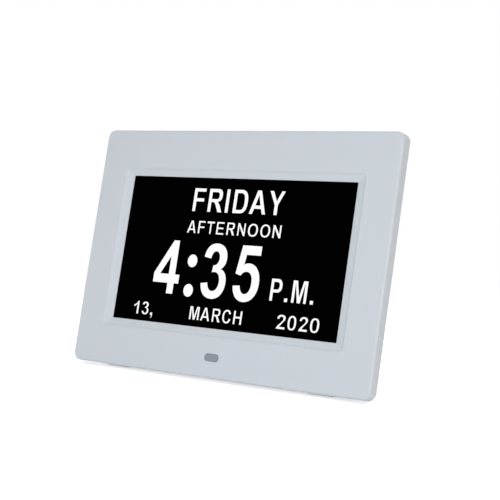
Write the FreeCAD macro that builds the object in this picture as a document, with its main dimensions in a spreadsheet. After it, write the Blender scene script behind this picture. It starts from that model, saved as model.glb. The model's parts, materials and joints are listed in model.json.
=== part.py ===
import FreeCAD, Part
import Sketcher
import math
import os
import re

# Digital day clock with a seven-inch screen, as the separate pieces it comes apart into.
#
# Every piece is drawn in the casing's own frame: X to the right as seen from the front, Y up the
# casing and Z out of its front face, with the origin at the middle of that face.  A depth is
# counted backwards from the front face, so a depth of 5 lies at Z = -5.  The stand's leg is drawn
# about its hinge.  At the end the casing is leaned back and set on the floor, with +Z up, +X to
# the right and the screen towards -Y.

os.makedirs("parts", exist_ok=True)
doc = FreeCAD.newDocument("day_clock")
sheet = doc.addObject("Spreadsheet::Sheet", "Sizes")
sizes = {}
derived = {}
pieces = {}
CENTRE = [(0, 0)]
BEYOND = 1.0


def size(name, amount):
    """Write one driving dimension, in millimetres or degrees, to the next row of the sheet."""
    row = len(sizes) + 1
    sheet.set("A%d" % row, name)
    sheet.set("B%d" % row, str(amount))
    sheet.setAlias("B%d" % row, name)
    sizes[name] = amount


def formula(text):
    """Turn size names into references to the sheet, and derived names into their formulas."""

    def reference(word):
        name = word.group()
        if name in derived:
            return "(" + formula(derived[name]) + ")"
        if name in sizes:
            return "Sizes." + name
        return name

    return re.sub(r"\b[a-z]\w*", reference, str(text))


def value(text):
    """Work out a formula from the sheet as it stands."""
    return float(sheet.evalExpression(formula(text)))


# Screen and casing
size("screen_width", 154.08)
size("screen_height", 85.92)
size("recess_side", 5.56)
size("recess_end", 4.64)
size("recess_corner", 2.2)
size("screen_corner", 0.4)
size("bevel_width", 1.0)
size("bevel_depth", 0.7)
size("slope_depth", 1.9)
size("face_side", 19.15)
size("face_end", 23.0)
size("casing_corner", 4.8)
size("rim_depth", 7.4)
size("front_wall", 2.3)
size("side_wall", 2.0)
size("front_round", 1.5)
size("rear_round", 0.5)
size("lean", 14.62)

# Infrared window
size("window_width", 9.7)
size("window_height", 4.2)
size("window_corner", 1.9)
size("window_rise", 11.5)
size("window_fit", 0.1)
size("window_flange", 1.2)
size("window_flange_depth", 1.0)

# Rear cover
size("cover_wall", 2.0)
size("cover_fit", 0.3)
size("housing_margin", 6.55)
size("housing_above", 10.0)
size("housing_below", 4.9)
size("cover_clearance", 0.2)
size("housing_corner", 8.0)
size("housing_round", 2.5)

# Casing feet
size("pad_width", 14.0)
size("pad_length", 3.1)
size("pad_recess", 0.6)
size("pad_proud", 0.4)
size("pad_spread", 70.0)
size("pad_margin", 0.5)

# Screws and bosses
size("casing_boss_radius", 2.5)
size("casing_screw_radius", 1.3)
size("casing_head_radius", 2.3)
size("casing_head_height", 1.1)
size("casing_thread", 3.6)
size("boss_radius", 2.0)
size("screw_radius", 0.95)
size("head_radius", 1.8)
size("head_height", 1.0)
size("screw_slack", 0.05)
size("hole_slack", 0.3)
size("drive_width", 0.5)
size("drive_depth", 0.6)
size("thread_depth", 3.0)

# Leg and hinge
size("leg_width", 50.0)
size("leg_thickness", 4.6)
size("leg_skin", 1.4)
size("leg_rib", 1.5)
size("leg_side_gap", 0.4)
size("leg_gap", 0.5)
size("stop_slack", 0.05)
size("stop_width", 10.0)
size("stand_angle", 30.0)
size("hinge_rise", 14.0)
size("pin_radius", 1.0)
size("pin_running_gap", 0.05)
size("pin_hole_slack", 0.01)
size("pin_grip", 2.2)
size("washer_radius", 2.1)
size("washer_thickness", 0.3)
size("pocket_depth", 5.6)
size("pocket_wall", 1.6)
size("pocket_side_wall", 3.0)
size("pocket_head_gap", 1.4)
size("foot_width", 46.0)
size("foot_radius", 2.2)
size("foot_stem", 4.0)
size("foot_stem_thickness", 1.8)
size("foot_fit", 0.05)

# Screen module
size("module_side", 5.41)
size("module_end", 7.04)
size("module_thickness", 5.7)
size("module_gap", 0.2)
size("frame_sheet", 0.3)
size("frame_lap", 1.56)
size("layer_gap", 0.3)
size("polariser_thickness", 0.2)
size("glass_thickness", 1.2)
size("films_thickness", 0.6)
size("guide_thickness", 2.4)
size("reflector_thickness", 0.2)
size("lamp_room", 1.6)
size("lamp_width", 3.0)
size("lamp_height", 2.0)
size("lamp_thickness", 0.9)
size("lamp_pitch", 9.0)
size("strip_thickness", 0.3)
size("rib_height", 2.5)
size("rib_thickness", 1.4)
size("rib_length", 8.0)
size("flex_width", 25.0)
size("flex_thickness", 0.15)
size("flex_bend", 0.6)
size("flex_notch", 1.0)
size("clamp_lap", 4.0)
size("clamp_thickness", 0.8)
size("clamp_height", 92.0)
size("clamp_screw_rise", 40.0)

# Main board
size("board_gap", 2.4)
size("board_thickness", 1.6)
size("board_width", 50.0)
size("board_end_margin", 8.0)
size("board_drop", 2.0)
size("board_side_gap", 3.0)
size("board_inset", 4.0)
size("processor_side", 14.0)
size("processor_height", 1.4)
size("memory_width", 8.0)
size("memory_length", 12.0)
size("memory_height", 1.1)
size("crystal_length", 5.0)
size("crystal_width", 3.2)
size("crystal_height", 1.2)
size("capacitor_radius", 2.5)
size("capacitor_height", 5.2)
size("coil_side", 7.0)
size("coil_height", 3.5)
size("cell_radius", 10.0)
size("cell_thickness", 3.2)
size("holder_wall", 1.0)
size("holder_base", 0.8)
size("holder_fit", 0.15)
size("connector_width", 6.0)
size("connector_length", 3.5)
size("flex_connector_height", 1.5)
size("jack_width", 9.0)
size("jack_height", 6.2)
size("jack_length", 11.0)
size("jack_nose_radius", 2.9)
size("jack_bore_radius", 1.8)
size("jack_bore_depth", 10.5)
size("jack_pin_radius", 0.65)
size("jack_pin_inset", 1.0)
size("jack_wall_gap", 0.1)
size("jack_nose_gap", 0.2)

# Infrared receiver
size("ir_board_width", 30.0)
size("ir_board_height", 7.8)
size("ir_board_thickness", 1.0)
size("ir_post_height", 4.2)
size("ir_post_spread", 11.0)
size("ir_body_width", 7.0)
size("ir_body_height", 5.6)
size("ir_body_depth", 1.9)
size("ir_lens_radius", 2.3)
size("ir_lens_depth", 1.0)

# Speaker
size("speaker_radius", 18.0)
size("speaker_rim", 2.4)
size("speaker_rim_depth", 1.5)
size("speaker_basket_radius", 16.4)
size("speaker_basket_depth", 3.0)
size("speaker_back_sheet", 0.8)
size("speaker_magnet_radius", 9.5)
size("speaker_magnet_depth", 2.5)
size("speaker_cone_radius", 15.2)
size("speaker_cone_throat", 6.5)
size("speaker_cone_sheet", 0.5)
size("speaker_x", 58.0)
size("speaker_y", -32.0)
size("speaker_ring_wall", 1.2)
size("speaker_ring_gap", 0.3)
size("speaker_screw_reach", 20.6)
size("speaker_head_radius", 3.2)
size("grille_hole_radius", 1.0)
size("grille_pitch", 3.4)

# Vents and wall keyholes
size("vent_width", 2.0)
size("vent_height", 16.0)
size("vent_pitch", 4.2)
size("keyhole_radius", 4.2)
size("keyhole_slot", 4.4)
size("keyhole_spread", 60.0)
size("keyhole_rise", 26.0)
size("keyhole_travel", 8.0)

# Buttons
size("key_pitch", 14.0)
size("key_drop", 9.5)
size("cap_width", 9.0)
size("cap_height", 5.4)
size("cap_corner", 2.2)
size("cap_fit", 0.3)
size("cap_proud", 1.2)
size("cap_round", 0.5)
size("cap_flange", 1.1)
size("cap_flange_lap", 0.9)
size("cap_slack", 0.1)
size("key_travel", 0.4)
size("plunger_radius", 1.7)
size("plunger_gap", 0.08)
size("plunger_rise", 0.8)
size("plunger_depth", 1.2)
size("switch_side", 6.0)
size("switch_height", 3.4)
size("switch_floor", 1.0)
size("key_board_width", 100.0)
size("key_board_height", 12.0)
size("key_board_thickness", 1.2)
size("key_board_inset", 3.0)

# Leads
size("lead_radius", 0.7)
size("lead_bend_share", 0.45)
size("key_lead_width", 6.0)
size("key_lead_thickness", 0.6)
doc.recompute()

derived.update(
    casing_width="screen_width + 2 * recess_side + 2 * face_side",
    casing_height="screen_height + 2 * recess_end + 2 * face_end",
    half_width="casing_width / 2",
    half_height="casing_height / 2",
    inner_width="casing_width - 2 * side_wall",
    inner_height="casing_height - 2 * side_wall",
    inner_corner="casing_corner - side_wall",
    recess_width="screen_width + 2 * recess_side",
    recess_height="screen_height + 2 * recess_end",
    window_y="window_rise - half_height",
    module_width="screen_width + 2 * module_side",
    module_height="screen_height + 2 * module_end",
    module_front="front_wall",
    module_back="front_wall + module_thickness",
    cover_front="rim_depth - cover_wall",
    housing_width="module_width + 2 * housing_margin",
    housing_half="housing_width / 2",
    housing_inner="housing_half - cover_wall",
    housing_top="module_height / 2 + housing_above",
    housing_bottom="0 - window_y + housing_below + cover_wall",
    housing_y="(housing_top - housing_bottom) / 2",
    housing_height="housing_top + housing_bottom",
    cover_inside="board_back + jack_height + cover_clearance",
    housing_back="cover_inside + cover_wall",
    pad_back="rim_depth - pad_margin",
    pad_front="pad_back - pad_length",
    casing_screw_x="(housing_half + half_width - side_wall) / 2",
    casing_screw_y="inner_height / 2 - housing_corner / 2 - casing_boss_radius / 2",
    casing_head_seat="rim_depth - casing_head_height",
    pocket_floor="housing_back - pocket_depth",
    pocket_half="leg_width / 2 + leg_side_gap",
    hinge_depth="pocket_floor + leg_gap + leg_thickness / 2",
    pocket_top="hinge_rise + leg_thickness / 2 + pocket_head_gap",
    board_front="module_back + board_gap",
    board_back="board_front + board_thickness",
    board_height="module_height - 2 * board_end_margin",
    board_left="0 - housing_inner + board_side_gap",
    board_x="board_left + board_width / 2",
    board_right="board_left + board_width",
    board_top="board_height / 2 - board_drop",
    board_bottom="0 - board_height / 2 - board_drop",
    clamp_x="module_width / 2 + boss_radius + layer_gap",
    clamp_back="module_back + clamp_thickness",
    key_y="housing_top - key_drop",
    flange_back="cover_inside - cap_slack",
    flange_front="flange_back - cap_flange",
    switch_back="flange_front - plunger_rise",
    key_board_back="switch_back - switch_height",
    key_board_front="key_board_back - key_board_thickness",
    key_screw_x="key_board_width / 2 - key_board_inset",
    speaker_rim_front="cover_inside - speaker_rim_depth",
    speaker_basket_front="speaker_rim_front - speaker_basket_depth",
    speaker_back="speaker_basket_front - speaker_back_sheet",
    ir_board_front="front_wall + ir_post_height",
    ir_board_back="ir_board_front + ir_board_thickness",
    jack_left="0 - housing_inner + jack_wall_gap",
    jack_y="board_bottom + 14",
    jack_depth="board_back + jack_height / 2",
    floor_level="0 - (half_height + pad_proud) * cos(lean) - pad_back * sin(lean)",
    hinge_level="hinge_rise * cos(lean) - hinge_depth * sin(lean)",
    leg_length="(hinge_level - floor_level - foot_radius) / cos(stand_angle - lean)",
    stop_reach="leg_thickness / 2 + leg_gap - stop_slack",
    stop_height="(stop_reach - leg_thickness / 2 * cos(stand_angle)) / sin(stand_angle)",
    glass_front="module_front + frame_sheet + polariser_thickness",
    glass_back="glass_front + glass_thickness",
    films_back="glass_back + films_thickness",
    guide_back="films_back + guide_thickness",
    reflector_back="guide_back + reflector_thickness",
    layer_width="module_width - 2 * frame_sheet - 2 * layer_gap",
    layer_height="module_height - 2 * frame_sheet - 2 * layer_gap",
    lit_height="layer_height - lamp_room",
    lit_y="lamp_room / 2",
    flex_x="board_x",
)


def new_piece(name):
    """Start a sub-part whose label names its file."""
    body = doc.addObject("PartDesign::Body", name)
    body.Label = name
    pieces[name] = body
    return body


def new_sketch(body, label, plane, offset):
    """Attach a sketch to one of the body's own planes, moved along the plane's normal."""
    sketch = body.newObject("Sketcher::SketchObject", label)
    support = next(item for item in body.Origin.OriginFeatures if item.Role == plane)
    sketch.AttachmentSupport = (support, [""])
    sketch.MapMode = "FlatFace"
    sketch.setExpression("AttachmentOffset.Base.z", formula(offset))
    return sketch


def dimension(sketch, kind, ends, text):
    """Add a dimension bound to the sheet."""
    index = sketch.addConstraint(Sketcher.Constraint(kind, *ends, value(text)))
    sketch.setExpression("Constraints[%d]" % index, formula(text))


def fix_point(sketch, geometry, point, x, y):
    """Hold a point of the sketch at its distances from the sketch's origin."""
    for kind, axis, text in (("DistanceX", -2, x), ("DistanceY", -1, y)):
        if text == 0:
            sketch.addConstraint(Sketcher.Constraint("PointOnObject", geometry, point, axis))
        else:
            dimension(sketch, kind, (-1, 1, geometry, point), text)


def add_line(sketch, start, end):
    """Draw one straight edge."""
    return sketch.addGeometry(Part.LineSegment(FreeCAD.Vector(*start), FreeCAD.Vector(*end)), False)


def circles(places, radius):
    """An outline of equal circles, one at each place."""

    def draw(sketch):
        for x, y in places:
            middle = FreeCAD.Vector(value(x), value(y), 0)
            ring = Part.Circle(middle, FreeCAD.Vector(0, 0, 1), value(radius))
            index = sketch.addGeometry(ring, False)
            dimension(sketch, "Radius", (index,), radius)
            fix_point(sketch, index, 3, x, y)

    return draw


def centre_rectangle(sketch, corners, x, y):
    """Hold two opposite points either side of the rectangle's centre."""
    middle = sketch.addGeometry(Part.Point(FreeCAD.Vector(value(x), value(y), 0)), True)
    sketch.addConstraint(Sketcher.Constraint("Symmetric", *corners[0], *corners[1], middle, 1))
    fix_point(sketch, middle, 1, x, y)


def square_up(sketch, bottom, right, top, left):
    """Keep a rectangle's edges level and upright."""
    sketch.addConstraint(Sketcher.Constraint("Horizontal", bottom))
    sketch.addConstraint(Sketcher.Constraint("Vertical", right))
    sketch.addConstraint(Sketcher.Constraint("Horizontal", top))
    sketch.addConstraint(Sketcher.Constraint("Vertical", left))


def rectangles(places, width, height):
    """An outline of equal rectangles, centred at each place."""

    def draw(sketch):
        across = value(width) / 2
        up = value(height) / 2
        for x, y in places:
            cx = value(x)
            cy = value(y)
            corners = [
                (cx - across, cy - up, 0),
                (cx + across, cy - up, 0),
                (cx + across, cy + up, 0),
                (cx - across, cy + up, 0),
            ]
            lines = [add_line(sketch, corners[i], corners[(i + 1) % 4]) for i in range(4)]
            for i in range(4):
                ends = (lines[i], 2, lines[(i + 1) % 4], 1)
                sketch.addConstraint(Sketcher.Constraint("Coincident", *ends))
            square_up(sketch, *lines)
            dimension(sketch, "DistanceX", (lines[0], 1, lines[0], 2), width)
            dimension(sketch, "DistanceY", (lines[1], 1, lines[1], 2), height)
            centre_rectangle(sketch, ((lines[0], 1), (lines[2], 1)), x, y)

    return draw


def rounded(places, width, height, corner):
    """An outline of equal rectangles with rounded corners, centred at each place."""

    def draw(sketch):
        across = value(width) / 2
        up = value(height) / 2
        r = value(corner)
        for x, y in places:
            cx = value(x)
            cy = value(y)
            lines = [
                add_line(sketch, (cx - across + r, cy - up, 0), (cx + across - r, cy - up, 0)),
                add_line(sketch, (cx + across, cy - up + r, 0), (cx + across, cy + up - r, 0)),
                add_line(sketch, (cx + across - r, cy + up, 0), (cx - across + r, cy + up, 0)),
                add_line(sketch, (cx - across, cy + up - r, 0), (cx - across, cy - up + r, 0)),
            ]
            arcs = []
            for i, (side, rise) in enumerate(((1, -1), (1, 1), (-1, 1), (-1, -1))):
                middle = FreeCAD.Vector(cx + side * (across - r), cy + rise * (up - r), 0)
                circle = Part.Circle(middle, FreeCAD.Vector(0, 0, 1), r)
                start = (i - 1) * math.pi / 2
                arcs.append(sketch.addGeometry(Part.ArcOfCircle(circle, start, start + math.pi / 2), False))
            for i in range(4):
                sketch.addConstraint(Sketcher.Constraint("Tangent", lines[i], 2, arcs[i], 1))
                sketch.addConstraint(Sketcher.Constraint("Tangent", arcs[i], 2, lines[(i + 1) % 4], 1))
            square_up(sketch, *lines)
            for i in range(1, 4):
                sketch.addConstraint(Sketcher.Constraint("Equal", arcs[0], arcs[i]))
            dimension(sketch, "Radius", (arcs[0],), corner)
            dimension(sketch, "DistanceX", (lines[3], 1, lines[1], 1), width)
            dimension(sketch, "DistanceY", (lines[0], 1, lines[2], 2), height)
            centre_rectangle(sketch, ((arcs[0], 3), (arcs[2], 3)), x, y)

    return draw


def both(first, second):
    """An outline made of two outlines, such as a ring."""

    def draw(sketch):
        first(sketch)
        second(sketch)

    return draw


def slab(body, label, front, back, outline):
    """Add material between two depths."""
    sketch = new_sketch(body, label + "_outline", "XY_Plane", "0 - (%s)" % back)
    outline(sketch)
    pad = body.newObject("PartDesign::Pad", label)
    pad.Profile = sketch
    pad.setExpression("Length", formula("(%s) - (%s)" % (back, front)))


def check_cut(body, label, before):
    """Stop if a cut took nothing away."""
    doc.recompute()
    if body.Shape.Volume > before - 1e-3:
        raise RuntimeError(label + " cuts nothing")


def cut(body, label, front, back, outline):
    """Take material away between two depths."""
    doc.recompute()
    before = body.Shape.Volume
    sketch = new_sketch(body, label + "_outline", "XY_Plane", "0 - (%s)" % front)
    outline(sketch)
    pocket = body.newObject("PartDesign::Pocket", label)
    pocket.Profile = sketch
    pocket.setExpression("Length", formula("(%s) - (%s)" % (back, front)))
    check_cut(body, label, before)


def slab_across(body, label, left, right, outline):
    """Add material between two places along X; the outline is drawn in Y and Z."""
    sketch = new_sketch(body, label + "_outline", "YZ_Plane", left)
    outline(sketch)
    pad = body.newObject("PartDesign::Pad", label)
    pad.Profile = sketch
    pad.setExpression("Length", formula("(%s) - (%s)" % (right, left)))


def cut_across(body, label, left, right, outline):
    """Take material away between two places along X; the outline is drawn in Y and Z."""
    doc.recompute()
    before = body.Shape.Volume
    sketch = new_sketch(body, label + "_outline", "YZ_Plane", right)
    outline(sketch)
    pocket = body.newObject("PartDesign::Pocket", label)
    pocket.Profile = sketch
    pocket.setExpression("Length", formula("(%s) - (%s)" % (right, left)))
    check_cut(body, label, before)


def loft(body, label, kind, sections):
    """Add or take away a straight-sided form between two outlines at their depths."""
    sketches = []
    for number, (depth, outline) in enumerate(sections):
        sketch = new_sketch(body, "%s_outline_%d" % (label, number), "XY_Plane", "0 - (%s)" % depth)
        outline(sketch)
        sketches.append(sketch)
    doc.recompute()
    before = body.Shape.Volume if kind == "SubtractiveLoft" else 0
    feature = body.newObject("PartDesign::" + kind, label)
    feature.Profile = sketches[0]
    feature.Sections = sketches[1:]
    feature.Ruled = True
    if kind == "SubtractiveLoft":
        check_cut(body, label, before)


def soften(body, label, radius, wanted):
    """Round the edges of the piece so far that the test picks."""
    doc.recompute()
    base = body.Tip
    names = ["Edge%d" % (i + 1) for i, edge in enumerate(base.Shape.Edges) if wanted(edge)]
    fillet = body.newObject("PartDesign::Fillet", label)
    fillet.Base = (base, names)
    fillet.setExpression("Radius", formula(radius))


def at_depth(depth):
    """A test for edges that lie in the plane at this depth."""
    level = 0 - value(depth)

    def test(edge):
        box = edge.BoundBox
        return abs(box.ZMin - level) < 1e-4 and abs(box.ZMax - level) < 1e-4

    return test


def mirrored(x, y):
    """The four places that mirror one another across both middle lines."""
    return [(x, y), ("0 - (%s)" % x, y), (x, "0 - (%s)" % y), ("0 - (%s)" % x, "0 - (%s)" % y)]


def pair(x, y):
    """Two places that mirror each other left and right."""
    return [(x, y), ("0 - (%s)" % x, y)]


CASING_SCREWS = mirrored("casing_screw_x", "casing_screw_y") + pair("casing_screw_x", 0)
CLAMP_SCREWS = mirrored("clamp_x", "clamp_screw_rise")
IR_SCREWS = pair("ir_post_spread", "window_y")
BOARD_SCREWS = [
    ("board_left + board_inset", "board_top - board_inset"),
    ("board_left + board_inset", "board_bottom + board_inset"),
    ("board_right - board_inset", "board_top - 7 * board_inset"),
    ("board_right - board_inset", "board_bottom + 5 * board_inset"),
]
KEY_SCREWS = pair("key_screw_x", "key_y")
KEYS = ["menu", "up", "down", "left", "right", "exit"]
KEY_PLACES = {
    name: ("key_pitch * %s" % (number - (len(KEYS) - 1) / 2), "key_y") for number, name in enumerate(KEYS)
}
SPEAKER = [("speaker_x", "speaker_y")]
SPEAKER_SCREWS = [
    (
        "speaker_x + speaker_screw_reach * cos(%d)" % turn,
        "speaker_y + speaker_screw_reach * sin(%d)" % turn,
    )
    for turn in (30, 150, 270)
]
FEET = pair("pad_spread", "0 - half_height")
VENTS_RIGHT = [("speaker_x + vent_pitch * %s" % step, "speaker_y + 42") for step in range(-3, 4)]
VENTS_LEFT = [("board_x + vent_pitch * %s" % step, "board_bottom + 22") for step in range(-3, 4)]
KEYHOLES = pair("keyhole_spread", "keyhole_rise")
CELL = [("board_x + 3", "board_bottom + 28")]


def screws(name, places, radius, head_radius, head_front, head_back, shank_front, shank_back):
    """Cross-head screws with their heads between one pair of depths and shanks between the other."""
    body = new_piece(name)
    slab(body, name + "_heads", head_front, head_back, circles(places, head_radius))
    slab(body, name + "_shanks", shank_front, shank_back, circles(places, radius))
    if value(shank_front) < value(head_front):
        ends = ("(%s) - drive_depth" % head_back, head_back)
    else:
        ends = (head_front, "(%s) + drive_depth" % head_front)
    cut(body, name + "_level_slots", *ends, rectangles(places, "(%s) * 1.2" % head_radius, "drive_width"))
    cut(body, name + "_upright_slots", *ends, rectangles(places, "drive_width", "(%s) * 1.2" % head_radius))
    return body


def make_front_bezel():
    """White front moulding: flat face, sloped recess round the screen, thin rim and inner bosses."""
    body = new_piece("front_bezel")
    outer = rounded(CENTRE, "casing_width", "casing_height", "casing_corner")
    slab(body, "bezel_block", 0, "rim_depth", outer)
    soften(body, "front_edge", "front_round", at_depth(0))
    soften(body, "rear_edge", "rear_round", at_depth("rim_depth"))
    inner = rounded(CENTRE, "inner_width", "inner_height", "inner_corner")
    cut(body, "bezel_hollow", "front_wall", "rim_depth", inner)

    wide = rounded(CENTRE, "recess_width", "recess_height", "recess_corner")
    middle = rounded(
        CENTRE,
        "recess_width - 2 * bevel_width",
        "recess_height - 2 * bevel_width",
        "recess_corner - bevel_width",
    )
    opening = rounded(CENTRE, "screen_width", "screen_height", "screen_corner")
    loft(body, "recess_bevel", "SubtractiveLoft", ((0, wide), ("bevel_depth", middle)))
    loft(body, "recess_slope", "SubtractiveLoft", (("bevel_depth", middle), ("slope_depth", opening)))
    cut(body, "screen_opening", "slope_depth", "front_wall", opening)

    window = rounded([(0, "window_y")], "window_width", "window_height", "window_corner")
    cut(body, "window_opening", 0, "front_wall", window)

    boss_bore = "casing_screw_radius + screw_slack"
    slab(body, "casing_bosses", "front_wall", "cover_front", circles(CASING_SCREWS, "casing_boss_radius"))
    bore_front = "casing_head_seat - casing_thread - screw_slack"
    cut(body, "casing_boss_bores", bore_front, "cover_front", circles(CASING_SCREWS, boss_bore))

    bore = "screw_radius + screw_slack"
    slab(body, "clamp_bosses", "front_wall", "module_back", circles(CLAMP_SCREWS, "boss_radius"))
    clamp_bore = "module_back - thread_depth - screw_slack"
    cut(body, "clamp_boss_bores", clamp_bore, "module_back", circles(CLAMP_SCREWS, bore))
    slab(body, "ir_posts", "front_wall", "ir_board_front", circles(IR_SCREWS, "boss_radius"))
    post_bore = "ir_board_front - thread_depth - screw_slack"
    cut(body, "ir_post_bores", post_bore, "ir_board_front", circles(IR_SCREWS, bore))

    rib_back = "front_wall + rib_height"
    rib_width = "module_width + 2 * module_gap"
    rib_span = "module_height + 2 * module_gap"
    rib_outer = rectangles(
        CENTRE, "%s + 2 * rib_thickness" % rib_width, "%s + 2 * rib_thickness" % rib_span
    )
    rib_inner = rectangles(CENTRE, rib_width, rib_span)
    slab(body, "module_ribs", "front_wall", rib_back, both(rib_outer, rib_inner))
    level_gap = rectangles(CENTRE, "module_width - 2 * rib_length", "%s + 4 * rib_thickness" % rib_span)
    cut(body, "rib_gaps_above_and_below", "front_wall", rib_back, level_gap)
    side_gap = rectangles(CENTRE, "%s + 4 * rib_thickness" % rib_width, "module_height - 6 * rib_length")
    cut(body, "rib_gaps_at_the_sides", "front_wall", rib_back, side_gap)

    pads = rectangles(FEET, "pad_width", "2 * pad_recess")
    cut(body, "pad_seats", "pad_front", "pad_back", pads)


def make_ir_window():
    """Smoked window, flush with the face, with a flange behind it."""
    body = new_piece("ir_window")
    lens = rounded(
        [(0, "window_y")],
        "window_width - 2 * window_fit",
        "window_height - 2 * window_fit",
        "window_corner - window_fit",
    )
    flange = rounded(
        [(0, "window_y")],
        "window_width + 2 * window_flange",
        "window_height + 2 * window_flange",
        "window_corner",
    )
    slab(body, "window_lens", "window_fit", "front_wall", lens)
    slab(body, "window_flange_plate", "front_wall", "front_wall + window_flange_depth", flange)


def make_casing_feet():
    """Two rubber pads glued in the underside of the rim."""
    body = new_piece("casing_feet")
    thickness = "pad_recess + pad_proud"
    places = pair("pad_spread", "0 - half_height + pad_recess - (%s) / 2" % thickness)
    slab(body, "pads", "pad_front", "pad_back", rectangles(places, "pad_width", thickness))


def make_rear_cover():
    """White rear moulding: flat border inside the rim and a raised housing with the leg's pocket."""
    body = new_piece("rear_cover")
    border = rounded(
        CENTRE,
        "inner_width - 2 * cover_fit",
        "inner_height - 2 * cover_fit",
        "inner_corner - cover_fit",
    )
    slab(body, "cover_border", "cover_front", "rim_depth", border)
    raised = rounded([(0, "housing_y")], "housing_width", "housing_height", "housing_corner")
    slab(body, "housing_block", "rim_depth", "housing_back", raised)
    soften(body, "housing_edge", "housing_round", at_depth("housing_back"))
    hollow = rounded(
        [(0, "housing_y")],
        "housing_width - 2 * cover_wall",
        "housing_height - 2 * cover_wall",
        "housing_corner - cover_wall",
    )
    cut(body, "housing_hollow", "cover_front", "cover_inside", hollow)

    wall_front = "pocket_floor - pocket_wall"
    wall_top = "(pocket_top + pocket_wall)"
    wall_foot = "(cover_wall / 2 - housing_bottom)"
    block = rectangles(
        [(0, "(%s + %s) / 2" % (wall_top, wall_foot))],
        "2 * (pocket_half + pocket_side_wall)",
        "%s - %s" % (wall_top, wall_foot),
    )
    slab(body, "pocket_block", wall_front, "cover_inside + cover_wall / 2", block)
    below = "(0 - housing_bottom - %s)" % BEYOND
    pocket = rectangles(
        [(0, "(pocket_top + %s) / 2" % below)], "2 * pocket_half", "pocket_top - %s" % below
    )
    cut(body, "leg_pocket", "pocket_floor", "housing_back + %s" % BEYOND, pocket)
    reach = "pocket_half + pin_grip + pin_hole_slack"
    pin_hole = circles([("hinge_rise", "0 - hinge_depth")], "pin_radius + pin_hole_slack")
    cut_across(body, "pin_holes", "0 - (%s)" % reach, reach, pin_hole)

    bore = "screw_radius + screw_slack"
    slab(body, "board_bosses", "board_back", "cover_inside", circles(BOARD_SCREWS, "boss_radius"))
    board_bore = "board_back + thread_depth + screw_slack"
    cut(body, "board_boss_bores", "board_back", board_bore, circles(BOARD_SCREWS, bore))
    slab(body, "key_bosses", "key_board_back", "cover_inside", circles(KEY_SCREWS, "boss_radius"))
    key_bore = "key_board_back + thread_depth + screw_slack"
    cut(body, "key_boss_bores", "key_board_back", key_bore, circles(KEY_SCREWS, bore))

    ring_inner = circles(SPEAKER, "speaker_radius + speaker_ring_gap")
    ring_outer = circles(SPEAKER, "speaker_radius + speaker_ring_gap + speaker_ring_wall")
    slab(body, "speaker_ring", "speaker_rim_front", "cover_inside", both(ring_outer, ring_inner))
    speaker_bosses = circles(SPEAKER_SCREWS, "boss_radius")
    slab(body, "speaker_bosses", "speaker_rim_front", "cover_inside", speaker_bosses)
    speaker_bore = "speaker_rim_front + thread_depth - cover_wall / 2"
    cut(body, "speaker_boss_bores", "speaker_rim_front", speaker_bore, circles(SPEAKER_SCREWS, bore))

    through = ("cover_inside", "housing_back")
    grille = list(SPEAKER)
    for ring in range(1, 4):
        for step in range(6 * ring):
            turn = 360 * step / (6 * ring)
            reach = "grille_pitch * %d" % ring
            grille.append(
                ("speaker_x + %s * cos(%s)" % (reach, turn), "speaker_y + %s * sin(%s)" % (reach, turn))
            )
    cut(body, "speaker_holes", *through, circles(grille, "grille_hole_radius"))
    vent_corner = "vent_width / 2 - 0.1"
    for name, places in (("right_vents", VENTS_RIGHT), ("left_vents", VENTS_LEFT)):
        cut(body, name, *through, rounded(places, "vent_width", "vent_height", vent_corner))
    cap_hole = rounded(
        list(KEY_PLACES.values()),
        "cap_width + 2 * cap_fit",
        "cap_height + 2 * cap_fit",
        "cap_corner + cap_fit",
    )
    cut(body, "key_holes", *through, cap_hole)
    cut(body, "keyhole_entries", *through, circles(KEYHOLES, "keyhole_radius"))
    slot_places = pair("keyhole_spread", "keyhole_rise + keyhole_travel / 2")
    slot = rounded(slot_places, "keyhole_slot", "keyhole_travel + keyhole_slot", "keyhole_slot / 2 - 0.1")
    cut(body, "keyhole_slots", *through, slot)

    head_room = circles(CASING_SCREWS, "casing_head_radius + hole_slack")
    cut(body, "casing_head_seats", "casing_head_seat", "rim_depth", head_room)
    shank_room = circles(CASING_SCREWS, "casing_screw_radius + hole_slack")
    cut(body, "casing_screw_holes", "cover_front", "casing_head_seat", shank_room)
    nose_hole = circles([("jack_y", "0 - jack_depth")], "jack_nose_radius + jack_nose_gap")
    cut_across(body, "jack_hole", "0 - housing_half", "0 - housing_inner", nose_hole)


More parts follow.
